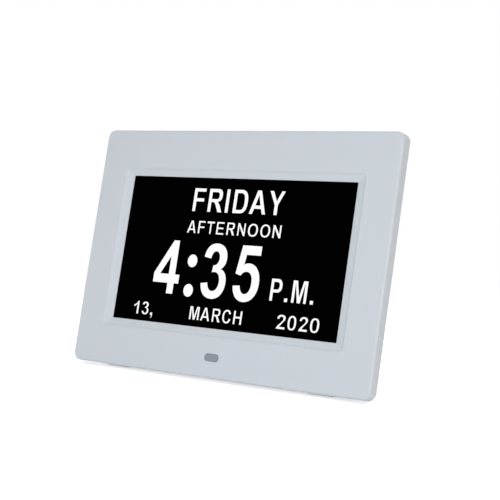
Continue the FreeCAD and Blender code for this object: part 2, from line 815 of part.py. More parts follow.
def make_stand():
    """Leg, hinge pin, friction washers and rubber foot, drawn about the hinge with the leg down."""
    body = new_piece("stand_leg")
    half = "leg_width / 2"
    skin = "leg_thickness / 2"
    plate = rectangles([(0, "0 - leg_length / 2")], "leg_width", "leg_length")
    slab(body, "leg_plate", "0 - " + skin, skin, plate)
    slab_across(body, "leg_barrel", "0 - " + half, half, circles(CENTRE, skin))
    lug = rectangles([("stop_height / 2", skin + " / 2")], "stop_height", skin)
    for side in (-1, 1):
        near = "(leg_width / 2 - stop_width) * %d" % side
        far = "leg_width / 2 * %d" % side
        left, right = (near, far) if side > 0 else (far, near)
        slab_across(body, "stop_lug_%s" % ("right" if side > 0 else "left"), left, right, lug)
    doc.recompute()
    level = 0 - value("leg_length")
    soften(body, "leg_corners", "foot_radius", upright_at(level))
    bore = circles(CENTRE, "pin_radius + pin_running_gap")
    cut_across(body, "leg_bore", "0 - %s - %s" % (half, BEYOND), "%s + %s" % (half, BEYOND), bore)
    bay = "((leg_width - 5 * leg_rib) / 4)"
    bay_height = "(leg_length - leg_thickness - 2 * leg_rib - foot_stem)"
    bays = [
        ("(%s + leg_rib) * %s" % (bay, step), "0 - leg_thickness / 2 - leg_rib - %s / 2" % bay_height)
        for step in (-1.5, -0.5, 0.5, 1.5)
    ]
    cut(body, "leg_hollows", "0 - " + skin, skin + " - leg_skin", rectangles(bays, bay, bay_height))
    slot = rectangles(
        [("0 - leg_length + foot_stem / 2", 0)],
        "foot_stem + foot_fit",
        "foot_stem_thickness + 2 * foot_fit",
    )
    slot_half = "foot_width / 2 + foot_fit"
    cut_across(body, "foot_slot", "0 - (%s)" % slot_half, slot_half, slot)

    pin = new_piece("stand_pin")
    grip = "pocket_half + pin_grip"
    slab_across(pin, "pin_rod", "0 - (%s)" % grip, grip, circles(CENTRE, "pin_radius"))

    washers = new_piece("stand_washers")
    ring = both(circles(CENTRE, "washer_radius"), circles(CENTRE, "pin_radius + pin_running_gap"))
    inner = "leg_width / 2 + (leg_side_gap - washer_thickness) / 2"
    outer = inner + " + washer_thickness"
    slab_across(washers, "right_washer", inner, outer, ring)
    slab_across(washers, "left_washer", "0 - (%s)" % outer, "0 - (%s)" % inner, ring)

    foot = new_piece("stand_foot")
    half_foot = "foot_width / 2"
    end = "0 - leg_length"
    slab_across(foot, "foot_bar", "0 - " + half_foot, half_foot, circles([(end, 0)], "foot_radius"))
    upper = rectangles([(end + " + foot_radius / 2", 0)], "foot_radius", "3 * foot_radius")
    wide = "foot_width"
    cut_across(foot, "foot_flat", "0 - " + wide, wide, upper)
    stem = rectangles([(end + " + foot_stem / 2", 0)], "foot_stem", "foot_stem_thickness")
    slab_across(foot, "foot_stem_strip", "0 - " + half_foot, half_foot, stem)


def upright_at(level):
    """A test for edges that run along Z at this height or below."""

    def test(edge):
        box = edge.BoundBox
        along = box.ZLength > 1.0 and box.XLength < 1e-4 and box.YLength < 1e-4
        return along and box.YMax < level + 1e-4

    return test


def make_screen_module():
    """The seven-inch screen module, layer by layer from the front."""
    frame = new_piece("lcd_frame")
    outer = rectangles(CENTRE, "module_width", "module_height")
    inner = rectangles(CENTRE, "module_width - 2 * frame_sheet", "module_height - 2 * frame_sheet")
    view = rectangles(CENTRE, "screen_width + 2 * frame_lap", "screen_height + 2 * frame_lap")
    face_back = "module_front + frame_sheet"
    slab(frame, "frame_walls", face_back, "module_back - frame_sheet", both(outer, inner))
    slab(frame, "frame_face", "module_front", face_back, both(outer, view))
    notch = rectangles([("flex_x", "0 - module_height / 2")], "flex_width + 2 * flex_notch", "2")
    cut(frame, "flex_notch_cut", "glass_back - flex_notch", "module_back - frame_sheet", notch)

    lap = "(2 * frame_lap - 2 * layer_gap)"
    polariser = new_piece("lcd_polariser")
    face = rectangles(CENTRE, "screen_width + " + lap, "screen_height + " + lap)
    slab(polariser, "polariser_film", face_back, "glass_front", face)
    layer = rectangles(CENTRE, "layer_width", "layer_height")
    lit = rectangles([(0, "lit_y")], "layer_width", "lit_height")
    for name, front, back, outline in (
        ("lcd_glass", "glass_front", "glass_back", layer),
        ("diffuser_films", "glass_back", "films_back", lit),
        ("light_guide", "films_back", "guide_back", lit),
        ("reflector_film", "guide_back", "reflector_back", lit),
        ("lcd_tray", "reflector_back", "module_back", layer),
    ):
        slab(new_piece(name), name + "_sheet", front, back, outline)

    lit_foot = "(lit_y - lit_height / 2)"
    lamps = new_piece("backlight_leds")
    count = int((value("layer_width") - value("lamp_pitch")) // value("lamp_pitch"))
    lamp_y = lit_foot + " - lamp_thickness / 2"
    places = [("lamp_pitch * %s" % (i - (count - 1) / 2), lamp_y) for i in range(count)]
    lamp_front = "films_back + (guide_thickness - lamp_height) / 2"
    lamp_outline = rectangles(places, "lamp_width", "lamp_thickness")
    slab(lamps, "lamp_row", lamp_front, lamp_front + " + lamp_height", lamp_outline)
    strip = new_piece("led_strip")
    strip_y = lit_foot + " - lamp_thickness - strip_thickness / 2"
    strip_outline = rectangles([(0, strip_y)], "layer_width", "strip_thickness")
    slab(strip, "lamp_strip", "films_back", "guide_back", strip_outline)

    bars = new_piece("clamp_bars")
    reach = "(clamp_lap + 2 * boss_radius + layer_gap)"
    places = pair("module_width / 2 - clamp_lap + %s / 2" % reach, 0)
    slab(bars, "bars", "module_back", "clamp_back", rectangles(places, reach, "clamp_height"))
    holes = circles(CLAMP_SCREWS, "screw_radius + hole_slack / 2")
    cut(bars, "bar_holes", "module_back", "clamp_back", holes)
    screws(
        "clamp_screws",
        CLAMP_SCREWS,
        "screw_radius",
        "head_radius",
        "clamp_back",
        "clamp_back + head_height",
        "module_back - thread_depth",
        "clamp_back",
    )


def make_boards():
    """Main board, key board and infrared board with what is soldered to them."""
    board = new_piece("main_board")
    plate = rectangles([("board_x", "0 - board_drop")], "board_width", "board_height")
    slab(board, "main_board_plate", "board_front", "board_back", plate)
    room = "screw_radius + hole_slack / 2"
    cut(board, "main_board_holes", "board_front", "board_back", circles(BOARD_SCREWS, room))

    chips = (
        ("processor", 1, 52, "processor_side", "processor_side", "processor_height"),
        ("crystal", 13, 48, "crystal_length", "crystal_width", "crystal_height"),
        ("power_coil", -6, 9, "coil_side", "coil_side", "coil_height"),
    )
    for name, x, y, width, height, rise in chips:
        places = [("board_x + %d" % x, "board_bottom + %d" % y)]
        outline = rectangles(places, width, height)
        slab(new_piece(name), name + "_case", "board_back", "board_back + " + rise, outline)
    memory = new_piece("memory_chips")
    places = [("board_x - 15", "board_bottom + %d" % y) for y in (42, 57)]
    memory_outline = rectangles(places, "memory_width", "memory_length")
    slab(memory, "memory_cases", "board_back", "board_back + memory_height", memory_outline)
    capacitors = new_piece("capacitors")
    can_places = ((4, 9), (12, 9), (-15, 26), (18, 30))
    places = [("board_x + %d" % x, "board_bottom + %d" % y) for x, y in can_places]
    can_back = "board_back + capacitor_height"
    slab(capacitors, "cans", "board_back", can_back, circles(places, "capacitor_radius"))

    holder = new_piece("cell_holder")
    bore = "cell_radius + holder_fit"
    rim = bore + " + holder_wall"
    floor = "board_back + holder_base"
    slab(holder, "holder_floor", "board_back", floor, circles(CELL, rim))
    ring = both(circles(CELL, rim), circles(CELL, bore))
    slab(holder, "holder_ring", floor, floor + " + cell_thickness", ring)
    cell = new_piece("backup_cell")
    slab(cell, "cell_can", floor, floor + " + cell_thickness", circles(CELL, "cell_radius"))

    flex = new_piece("flex_connector")
    places = [("flex_x", "board_bottom + 5.5")]
    flex_outline = rectangles(places, "flex_width + 4", "connector_length")
    slab(flex, "flex_socket", "board_front - flex_connector_height", "board_front", flex_outline)

    wires = new_piece("wire_connectors")
    half = "connector_length / 2"
    size_args = ("connector_width", "connector_length")
    ir_socket = rectangles([(0, "window_y")], *size_args)
    slab(wires, "ir_socket", "ir_board_back", "board_front - 0.4", ir_socket)
    board_socket = rectangles([("board_right - board_inset", "board_bottom + " + half)], *size_args)
    slab(wires, "ir_plug_socket", "board_front - 1.8", "board_front", board_socket)
    speaker_socket = rectangles([("board_right - connector_width / 2", "board_top - 18")], *size_args)
    slab(wires, "speaker_socket", "board_back", "board_back + 4.5", speaker_socket)
    key_socket = rectangles([("key_lead_x", "board_top - %s" % half)], *size_args)
    slab(wires, "key_lead_socket", "board_front - 1.5", "board_front", key_socket)
    key_end = rectangles([("key_lead_x", "key_y - key_board_height / 2 + " + half)], *size_args)
    slab(wires, "key_board_socket", "key_board_front - 2.2", "key_board_front", key_end)

    key_board = new_piece("key_board")
    plate = rectangles([(0, "key_y")], "key_board_width", "key_board_height")
    slab(key_board, "key_board_plate", "key_board_front", "key_board_back", plate)
    cut(key_board, "key_board_holes", "key_board_front", "key_board_back", circles(KEY_SCREWS, room))
    switches = new_piece("tact_switches")
    places = list(KEY_PLACES.values())
    cases = rectangles(places, "switch_side", "switch_side")
    slab(switches, "switch_cases", "key_board_back", "switch_back", cases)
    bores = circles(places, "plunger_radius + plunger_gap")
    cut(switches, "switch_bores", "key_board_back + switch_floor", "switch_back", bores)

    ir_board = new_piece("ir_board")
    plate = rectangles([(0, "window_y")], "ir_board_width", "ir_board_height")
    slab(ir_board, "ir_board_plate", "ir_board_front", "ir_board_back", plate)
    cut(ir_board, "ir_board_holes", "ir_board_front", "ir_board_back", circles(IR_SCREWS, room))
    receiver = new_piece("ir_receiver")
    body_front = "ir_board_front - ir_body_depth"
    case = rectangles([(0, "window_y")], "ir_body_width", "ir_body_height")
    slab(receiver, "receiver_case", body_front, "ir_board_front", case)
    lens = circles([(0, "window_y")], "ir_lens_radius")
    slab(receiver, "receiver_lens", body_front + " - ir_lens_depth", body_front, lens)

    screws(
        "board_screws",
        BOARD_SCREWS,
        "screw_radius",
        "head_radius",
        "board_front - head_height",
        "board_front",
        "board_front",
        "board_back + thread_depth",
    )
    screws(
        "key_board_screws",
        KEY_SCREWS,
        "screw_radius",
        "head_radius",
        "key_board_front - head_height",
        "key_board_front",
        "key_board_front",
        "key_board_back + thread_depth",
    )
    screws(
        "ir_board_screws",
        IR_SCREWS,
        "screw_radius",
        "head_radius",
        "ir_board_back",
        "ir_board_back + head_height",
        "ir_board_front - thread_depth",
        "ir_board_back",
    )


def make_power_inlet():
    """Round power inlet whose nose lies flush in the housing's side wall."""
    jack = new_piece("dc_jack")
    places = [("jack_left + jack_length / 2", "jack_y")]
    case = rectangles(places, "jack_length", "jack_width")
    slab(jack, "jack_case", "board_back", "board_back + jack_height", case)
    axis = [("jack_y", "0 - jack_depth")]
    slab_across(jack, "jack_nose", "0 - housing_half", "jack_left", circles(axis, "jack_nose_radius"))
    bore_end = "jack_bore_depth - housing_half"
    cut_across(jack, "jack_bore", "0 - housing_half", bore_end, circles(axis, "jack_bore_radius"))
    pin = new_piece("dc_jack_pin")
    tip = "jack_pin_inset - housing_half"
    slab_across(pin, "contact_pin", tip, bore_end, circles(axis, "jack_pin_radius"))


def make_speaker():
    """Round loudspeaker that faces out through the rear cover."""
    frame = new_piece("speaker_frame")
    rim_hole = circles(SPEAKER, "speaker_radius - speaker_rim")
    rim = both(circles(SPEAKER, "speaker_radius"), rim_hole)
    slab(frame, "speaker_rim_ring", "speaker_rim_front", "cover_inside", rim)
    basket = both(circles(SPEAKER, "speaker_basket_radius"), rim_hole)
    slab(frame, "speaker_basket", "speaker_basket_front", "speaker_rim_front", basket)
    sheet_outline = circles(SPEAKER, "speaker_basket_radius")
    slab(frame, "speaker_back_plate", "speaker_back", "speaker_basket_front", sheet_outline)
    magnet = new_piece("speaker_magnet")
    magnet_outline = circles(SPEAKER, "speaker_magnet_radius")
    slab(magnet, "magnet_cup", "speaker_back - speaker_magnet_depth", "speaker_back", magnet_outline)
    cone = new_piece("speaker_cone")
    cone_front = "speaker_basket_front"
    cone_back = "cover_inside - speaker_cone_sheet"
    throat = "speaker_cone_throat"
    mouth = "speaker_cone_radius"
    outside = ((cone_front, circles(SPEAKER, throat)), (cone_back, circles(SPEAKER, mouth)))
    loft(cone, "cone_outside", "AdditiveLoft", outside)
    hollow_front = cone_front + " + speaker_cone_sheet"
    loft(
        cone,
        "cone_inside",
        "SubtractiveLoft",
        (
            (hollow_front, circles(SPEAKER, throat + " - speaker_cone_sheet / 2")),
            (cone_back, circles(SPEAKER, mouth + " - speaker_cone_sheet")),
        ),
    )
    screws(
        "speaker_screws",
        SPEAKER_SCREWS,
        "screw_radius",
        "speaker_head_radius",
        "speaker_rim_front - head_height",
        "speaker_rim_front",
        "speaker_rim_front",
        "speaker_rim_front + thread_depth - cover_wall / 2 - screw_slack",
    )


def make_casing_screws():
    """Six screws that hold the rear cover to the bezel."""
    screws(
        "casing_screws",
        CASING_SCREWS,
        "casing_screw_radius",
        "casing_head_radius",
        "casing_head_seat",
        "rim_depth",
        "casing_head_seat - casing_thread",
        "casing_head_seat",
    )


def make_buttons():
    """Six button caps, each with the plunger of its switch, which moves with it."""
    for name, place in KEY_PLACES.items():
        cap = new_piece("button_" + name)
        top = "housing_back + cap_proud"
        shaft = rounded([place], "cap_width", "cap_height", "cap_corner")
        slab(cap, "cap_%s_shaft" % name, "flange_front", top, shaft)
        soften(cap, "cap_%s_edge" % name, "cap_round", at_depth(top))
        flange = rounded(
            [place], "cap_width + 2 * cap_flange_lap", "cap_height + 2 * cap_flange_lap", "cap_corner"
        )
        slab(cap, "cap_%s_flange" % name, "flange_front", "flange_back", flange)
        plunger = new_piece("plunger_" + name)
        inner_end = "switch_back - plunger_depth"
        slab(plunger, "plunger_%s_rod" % name, inner_end, "flange_front", circles([place], "plunger_radius"))


def rounded_route(points, bend):
    """A wire of straight runs joined by tangent arcs, and the list of their radii."""
    edges = []
    radii = []
    start = points[0]
    for i in range(1, len(points) - 1):
        before = points[i - 1] - points[i]
        after = points[i + 1] - points[i]
        turn = math.pi - before.getAngle(after)
        if bend is None:
            radius = value("lead_bend_share") * min(before.Length, after.Length) / math.tan(turn / 2)
        else:
            radius = bend
        back = radius * math.tan(turn / 2)
        first = points[i] + before.normalize() * back
        last = points[i] + after.normalize() * back
        bisector = (before + after).normalize()
        middle = points[i] + bisector * (radius / math.cos(turn / 2) - radius)
        edges.append(Part.LineSegment(start, first).toShape())
        edges.append(Part.Arc(first, middle, last).toShape())
        radii.append(radius)
        start = last
    edges.append(Part.LineSegment(start, points[-1]).toShape())
    return Part.Wire(edges), radii


def make_round_lead(name, places, depth):
    """A round lead laid flat at one depth through the given places."""
    level = 0 - value(depth)
    points = [FreeCAD.Vector(value(x), value(y), level) for x, y in places]
    route, radii = rounded_route(points, None)
    radius = value("lead_radius")
    section = Part.Wire(Part.Circle(points[0], points[1] - points[0], radius).toShape())
    tube = route.makePipeShell([section], True, False)
    share = tube.Volume / (math.pi * radius**2 * route.Length)
    print("%s: length %.1f, volume share %.4f, radii %s" % (name, route.Length, share, radii))
    lead = doc.addObject("Part::Feature", name)
    lead.Shape = tube
    lead.Label = name
    pieces[name] = lead


def make_flat_lead(name, x, width, thickness, bend, places):
    """A flat lead of steady width whose route is given as heights and depths."""
    across = value(x)
    points = [FreeCAD.Vector(across, value(y), 0 - value(depth)) for y, depth in places]
    route, radii = rounded_route(points, bend)
    run = (points[1] - points[0]).normalize()
    side = FreeCAD.Vector(value(width) / 2, 0, 0)
    rise = FreeCAD.Vector(1, 0, 0).cross(run) * (value(thickness) / 2)
    corners = [side + rise, side - rise, rise * -1 - side, rise - side, side + rise]
    section = Part.makePolygon([points[0] + corner for corner in corners])
    shell = Part.BRepOffsetAPI.MakePipeShell(route)
    shell.setBiNormalMode(FreeCAD.Vector(1, 0, 0))
    shell.add(section)
    shell.build()
    shell.makeSolid()
    lead = doc.addObject("Part::Feature", name)
    lead.Shape = shell.shape()
    lead.Label = name
    pieces[name] = lead
    share = lead.Shape.Volume / (value(width) * value(thickness) * route.Length)
    print("%s: length %.1f, volume share %.4f, radii %s" % (name, route.Length, share, radii))


def make_leads():
    """Leads and flat cables between the boards, laid along the housing."""
    make_round_lead(
        "ir_lead",
        [
            ("0 - connector_width / 2", "window_y"),
            ("board_right - board_inset", "window_y"),
            ("board_right - board_inset", "board_bottom"),
        ],
        "board_front - 1.1",
    )
    lead_y = "pocket_top + pocket_wall + 2.7"
    make_round_lead(
        "speaker_lead",
        [
            ("speaker_x - 3", "speaker_y + speaker_basket_radius"),
            ("speaker_x - 3", lead_y + " - 22"),
            ("speaker_x - 12", lead_y + " - 12"),
            ("speaker_x - 12", lead_y),
            ("board_right", lead_y),
        ],
        "speaker_basket_front + 1",
    )
    flex_front = "glass_back + flex_thickness"
    flex_back = "module_back + 0.4"
    make_flat_lead(
        "lcd_flex",
        "flex_x",
        "flex_width",
        "flex_thickness",
        value("flex_bend"),
        [
            ("lit_y - lit_height / 2 - 0.2", flex_front),
            ("0 - module_height / 2 - flex_notch", flex_front),
            ("0 - module_height / 2 - flex_notch", flex_back),
            ("board_bottom + 14", flex_back),
            ("board_bottom + 14", flex_back + " + 1.35"),
            ("board_bottom + 5.5 + connector_length / 2", flex_back + " + 1.35"),
        ],
    )
    lead_depth = "board_front - 0.5"
    make_flat_lead(
        "key_lead",
        "key_lead_x",
        "key_lead_width - 1",
        "key_lead_thickness",
        None,
        [
            ("key_y - key_board_height / 2", lead_depth),
            ("board_top", lead_depth),
        ],
    )


derived["key_lead_x"] = "board_right - 3 * board_inset"
make_front_bezel()
make_ir_window()
make_rear_cover()
make_casing_feet()
make_casing_screws()
make_stand()
make_screen_module()
make_boards()
make_power_inlet()
make_speaker()
make_buttons()
make_leads()
doc.recompute()

# The leg's pieces hang from the hinge and swing open from the folded place to the stop.
hinge = FreeCAD.Vector(0, value("hinge_rise"), 0 - value("hinge_depth"))
opened = FreeCAD.Placement(hinge, FreeCAD.Rotation(FreeCAD.Vector(1, 0, 0), value("stand_angle")))
leaned = FreeCAD.Placement(
    FreeCAD.Vector(0, 0, 0), FreeCAD.Rotation(FreeCAD.Vector(1, 0, 0), 90 - value("lean"))
)
HINGED = ("stand_leg", "stand_pin", "stand_washers", "stand_foot")


def place_pieces(casing):
    """Put every piece where the casing's placement carries it."""
    for name, piece in pieces.items():
        piece.Placement = casing.multiply(opened) if name in HINGED else casing
    doc.recompute()


place_pieces(leaned)
whole = FreeCAD.BoundBox()
for piece in pieces.values():
    whole.add(piece.Shape.optimalBoundingBox(False, False))
shift = FreeCAD.Vector(-whole.Center.x, -whole.Center.y, -whole.ZMin)
standing = FreeCAD.Placement(shift, leaned.Rotation)
place_pieces(standing)

for item in doc.Objects:
    if "Invalid" in item.State or "Error" in item.State:
        raise RuntimeError("%s did not rebuild: %s" % (item.Label, item.State))
for name, piece in pieces.items():
    if piece.Shape.isNull() or not piece.Shape.isValid() or not piece.Shape.Solids:
        raise RuntimeError(name + " has no sound shape")
for name, piece in pieces.items():
    piece.Shape.exportStep("parts/%s.step" % name)

print("pieces", len(pieces))
print("shift", tuple(shift), "box", whole.XLength, whole.YLength, whole.ZLength)
print("hinge at", tuple(standing.multVec(hinge)))
print("leg length", value("leg_length"), "stop height", value("stop_height"))
print("press direction", tuple(standing.Rotation.multVec(FreeCAD.Vector(0, 0, 1))))
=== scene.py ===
"""Looks of a digital day clock with a seven-inch screen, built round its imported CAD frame."""

import json
import logging
import math
import re
from dataclasses import astuple, dataclass, field
from enum import Enum
from functools import cache
from typing import Optional, Sequence, Union

import bmesh
import bpy
from mathutils import Matrix, Vector


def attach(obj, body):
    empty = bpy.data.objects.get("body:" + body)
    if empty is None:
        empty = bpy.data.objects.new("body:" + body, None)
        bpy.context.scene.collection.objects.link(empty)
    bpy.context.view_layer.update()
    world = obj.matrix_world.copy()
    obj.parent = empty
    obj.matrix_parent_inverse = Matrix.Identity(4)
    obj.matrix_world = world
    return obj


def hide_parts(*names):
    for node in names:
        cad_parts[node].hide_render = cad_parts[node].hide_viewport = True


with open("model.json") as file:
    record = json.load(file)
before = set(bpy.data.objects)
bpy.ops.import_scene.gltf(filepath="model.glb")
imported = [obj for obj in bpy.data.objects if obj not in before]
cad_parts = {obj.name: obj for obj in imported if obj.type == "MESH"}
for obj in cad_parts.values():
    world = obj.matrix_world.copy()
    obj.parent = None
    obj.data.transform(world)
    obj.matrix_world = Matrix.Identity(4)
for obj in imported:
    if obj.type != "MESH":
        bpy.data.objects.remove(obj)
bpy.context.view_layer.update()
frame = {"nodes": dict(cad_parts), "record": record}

MM = 0.001
LEAN = 14.62  # degrees that the casing leans back
KEYHOLE_HEIGHT = 26.0  # of the keyholes above the casing's middle
KEYHOLE_DEPTH = 19.4  # of the keyholes behind its face
CRISP = 30.0  # degrees of bend from which an edge is shaded sharp
EASED_CRISP = 60.0  # the same where a bevel eases the edges first
WHITE = (1.0, 1.0, 1.0, 1.0)

logging.basicConfig(level=logging.INFO, format="%(levelname)s %(message)s")
LOG = logging.getLogger("day_clock")

Colour = tuple[float, float, float]
Socket = Union[str, int]


class Body(Enum):
    """The rigid bodies that do not carry a key."""

    CASING = "casing"
    STAND = "stand"


class KeyMark(Enum):
    """The sign moulded on each key's cap."""

    MENU = "menu"
    UP = "up"
    DOWN = "down"
    LEFT = "left"
    RIGHT = "right"
    EXIT = "exit"

    @property
    def body(self) -> str:
        """The rigid body that the key moves with."""
        return "key_" + self.value


ARROW_TURNS = {KeyMark.UP: 90.0, KeyMark.DOWN: -90.0, KeyMark.LEFT: 0.0, KeyMark.RIGHT: 180.0}


# Node trees


@dataclass(frozen=True)
class Wiring:
    """A node tree, with short ways to add nodes and to feed their inputs."""

    tree: bpy.types.NodeTree

    def feed(self, node: bpy.types.Node, values: dict[Socket, object]) -> None:
        """Set or join some of a node's inputs.

        Args:
            node: the node.
            values: a value or another node's output for each input, by its name or number.
        """
        for entry, value in values.items():
            if isinstance(value, bpy.types.NodeSocket):
                self.tree.links.new(value, node.inputs[entry])
            else:
                node.inputs[entry].default_value = value

    def add(
        self, kind: str, values: Optional[dict[Socket, object]] = None, **settings: object
    ) -> bpy.types.NodeOutputs:
        """Add a node.

        Args:
            kind: its type, without the leading ShaderNode.
            values: what its inputs are fed.
            settings: its own settings, such as its operation.

        Returns:
            Its outputs.
        """
        node = self.tree.nodes.new("ShaderNode" + kind)
        for name, setting in settings.items():
            setattr(node, name, setting)
        self.feed(node, values or {})
        return node.outputs

    def background_rays(self) -> bpy.types.NodeSocket:
        """Tell the rays that show a background: camera, glossy and transmission rays.

        Returns:
            An output that is 1 for them and 0 for the rest.
        """
        rays = self.add("LightPath")
        pair = {0: rays["Is Camera Ray"], 1: rays["Is Glossy Ray"]}
        either = self.add("Math", pair, operation="MAXIMUM")["Value"]
        pair = {0: either, 1: rays["Is Transmission Ray"]}
        return self.add("Math", pair, operation="MAXIMUM")["Value"]


# Shader node groups that several finishes share


def new_group(
    name: str, inputs: dict[str, object], output: str, kind: str = "NodeSocketFloat"
) -> tuple[Wiring, bpy.types.NodeOutputs, bpy.types.Node]:
    """Make an empty group with its sockets.

    Args:
        name: the group's name.
        inputs: input names with their defaults; a tuple makes a colour.
        output: the name of the one output.
        kind: the output's socket type.

    Returns:
        The group's wiring, what enters it, and the node that its result leaves by.
    """
    group = bpy.data.node_groups.new(name, "ShaderNodeTree")
    for label, default in inputs.items():
        kind_in = "NodeSocketColor" if isinstance(default, tuple) else "NodeSocketFloat"
        socket = group.interface.new_socket(label, in_out="INPUT", socket_type=kind_in)
        socket.default_value = default
    group.interface.new_socket(output, in_out="OUTPUT", socket_type=kind)
    entry = group.nodes.new("NodeGroupInput").outputs
    return Wiring(group), entry, group.nodes.new("NodeGroupOutput")


@cache
def moulded_grain() -> bpy.types.NodeTree:
    """Fine spark-eroded grain of a moulding, as a height."""
    wiring, entry, leave = new_group("moulded_grain", {"Grains": 2600.0}, "Height")
    place = wiring.add("TexCoord")["Object"]
    grain = {"Vector": place, "Scale": entry["Grains"], "Detail": 2.5, "Roughness": 0.62}
    ripple = {"Vector": place, "Scale": 38.0, "Detail": 1.0}
    fine, broad = (wiring.add("TexNoise", values)["Fac"] for values in (grain, ripple))
    blend = wiring.add("Mix", {"Factor": 0.15, "A": fine, "B": broad}, data_type="FLOAT")
    wiring.feed(leave, {"Height": blend["Result"]})
    return wiring.tree


@cache
def tone_drift() -> bpy.types.NodeTree:
    """Slow drift of a colour towards a second one over the surface."""
    inputs = {"Colour": WHITE, "Second": WHITE, "Patches": 30.0, "Amount": 0.5}
    wiring, entry, leave = new_group("tone_drift", inputs, "Colour", "NodeSocketColor")
    place = wiring.add("TexCoord")["Object"]
    patches = {"Vector": place, "Scale": entry["Patches"], "Detail": 3.0}
    pair = {0: wiring.add("TexNoise", patches)["Fac"], 1: entry["Amount"]}
    share = wiring.add("Math", pair, operation="MULTIPLY")["Value"]
    mixed = {"Factor": share, "A": entry["Colour"], "B": entry["Second"]}
    blend = wiring.add("Mix", mixed, data_type="RGBA")
    wiring.feed(leave, {"Colour": blend["Result"]})
    return wiring.tree


@cache
def sheen_drift() -> bpy.types.NodeTree:
    """Slow drift of a roughness, as handling leaves it."""
    inputs = {"Low": 0.4, "High": 0.5, "Patches": 60.0}
    wiring, entry, leave = new_group("sheen_drift", inputs, "Roughness")
    place = wiring.add("TexCoord")["Object"]
    patches = {"Vector": place, "Scale": entry["Patches"], "Detail": 4.0}
    span = {
        "Value": wiring.add("TexNoise", patches)["Fac"],
        "From Min": 0.3,
        "From Max": 0.7,
        "To Min": entry["Low"],
        "To Max": entry["High"],
    }
    wiring.feed(leave, {"Roughness": wiring.add("MapRange", span)["Result"]})
    return wiring.tree


@cache
def drawn_lines() -> bpy.types.NodeTree:
    """Fine parallel lines that rolling or drawing leaves on metal, as a height."""
    wiring, entry, leave = new_group("drawn_lines", {"Lines": 4000.0}, "Height")
    place = wiring.add("TexCoord")["Object"]
    stretch = {0: place, 1: (0.03, 1.0, 1.0)}
    drawn = wiring.add("VectorMath", stretch, operation="MULTIPLY")["Vector"]
    streaks = {"Vector": drawn, "Scale": entry["Lines"], "Detail": 2.0}
    wiring.feed(leave, {"Height": wiring.add("TexNoise", streaks)["Fac"]})
    return wiring.tree


# Finishes


@dataclass(frozen=True)
class Finish:
    """A surface with a drifting tone and sheen and a fine relief, its height in metres."""

    name: str
    colour: Colour
    second: Colour
    roughness: tuple[float, float]
    drift: float = 0.5
    patches: float = 30.0
    grains: float = 2600.0
    relief: float = 1e-5
    bump: float = 0.6
    metallic: float = 0.0
    specular: float = 0.5
    lines: bool = False
    transmission: float = 0.0

    @cache
    def material(self) -> bpy.types.Material:
        """Build the material, once.

        Returns:
            The material.
        """
        made = bpy.data.materials.new(self.name)
        made.use_nodes = True
        made.diffuse_color = (*self.colour, 1.0)
        wiring = Wiring(made.node_tree)
        tones = {
            "Colour": (*self.colour, 1.0),
            "Second": (*self.second, 1.0),
            "Patches": self.patches,
            "Amount": self.drift,
        }
        low, high = self.roughness
        sheens = {"Low": low, "High": high, "Patches": self.patches * 2.0}
        effect, entry = (drawn_lines, "Lines") if self.lines else (moulded_grain, "Grains")
        height = wiring.add("Group", {entry: self.grains}, node_tree=effect())["Height"]
        bump = {"Strength": self.bump, "Distance": self.relief, "Height": height}
        surface = {
            "Metallic": self.metallic,
            "Specular IOR Level": self.specular,
            "Transmission Weight": self.transmission,
            "Base Color": wiring.add("Group", tones, node_tree=tone_drift())["Colour"],
            "Roughness": wiring.add("Group", sheens, node_tree=sheen_drift())["Roughness"],
            "Normal": wiring.add("Bump", bump)["Normal"],
            **self.extras(wiring),
        }
        wiring.feed(made.node_tree.nodes["Principled BSDF"], surface)
        return made

    def extras(self, wiring: Wiring) -> dict[Socket, object]:
        """What only one kind of finish feeds its surface shader; here nothing."""
        return {}


@dataclass(frozen=True)
class LitFinish(Finish):
    """White light behind the screen's cells, with the dark lines of the cell grid."""

    pitch: float = 0.1926
    line_share: float = 0.05
    line_shade: float = 0.93
    cell_shade: float = 0.985
    strength: float = 1.0

    def extras(self, wiring: Wiring) -> dict[Socket, object]:
        """Give the surface its own light, broken by the cell grid.

        Args:
            wiring: the material's nodes.

        Returns:
            What the surface shader is fed for it.
        """
        cell = self.pitch * MM
        upright = (-(math.pi / 2 - math.radians(LEAN)), 0.0, 0.0)
        flat = {"Vector": wiring.add("TexCoord")["Object"], "Rotation": upright}
        grid = {
            "Vector": wiring.add("Mapping", flat)["Vector"],
            "Scale": 1.0,
            "Mortar Size": cell * self.line_share,
            "Brick Width": cell,
            "Row Height": cell,
            "Color1": WHITE,
            "Color2": (*(self.cell_shade,) * 3, 1.0),
            "Mortar": (*(self.line_shade,) * 3, 1.0),
        }
        cells = wiring.add("TexBrick", grid, offset=0.0)
        return {"Emission Color": cells["Color"], "Emission Strength": self.strength}


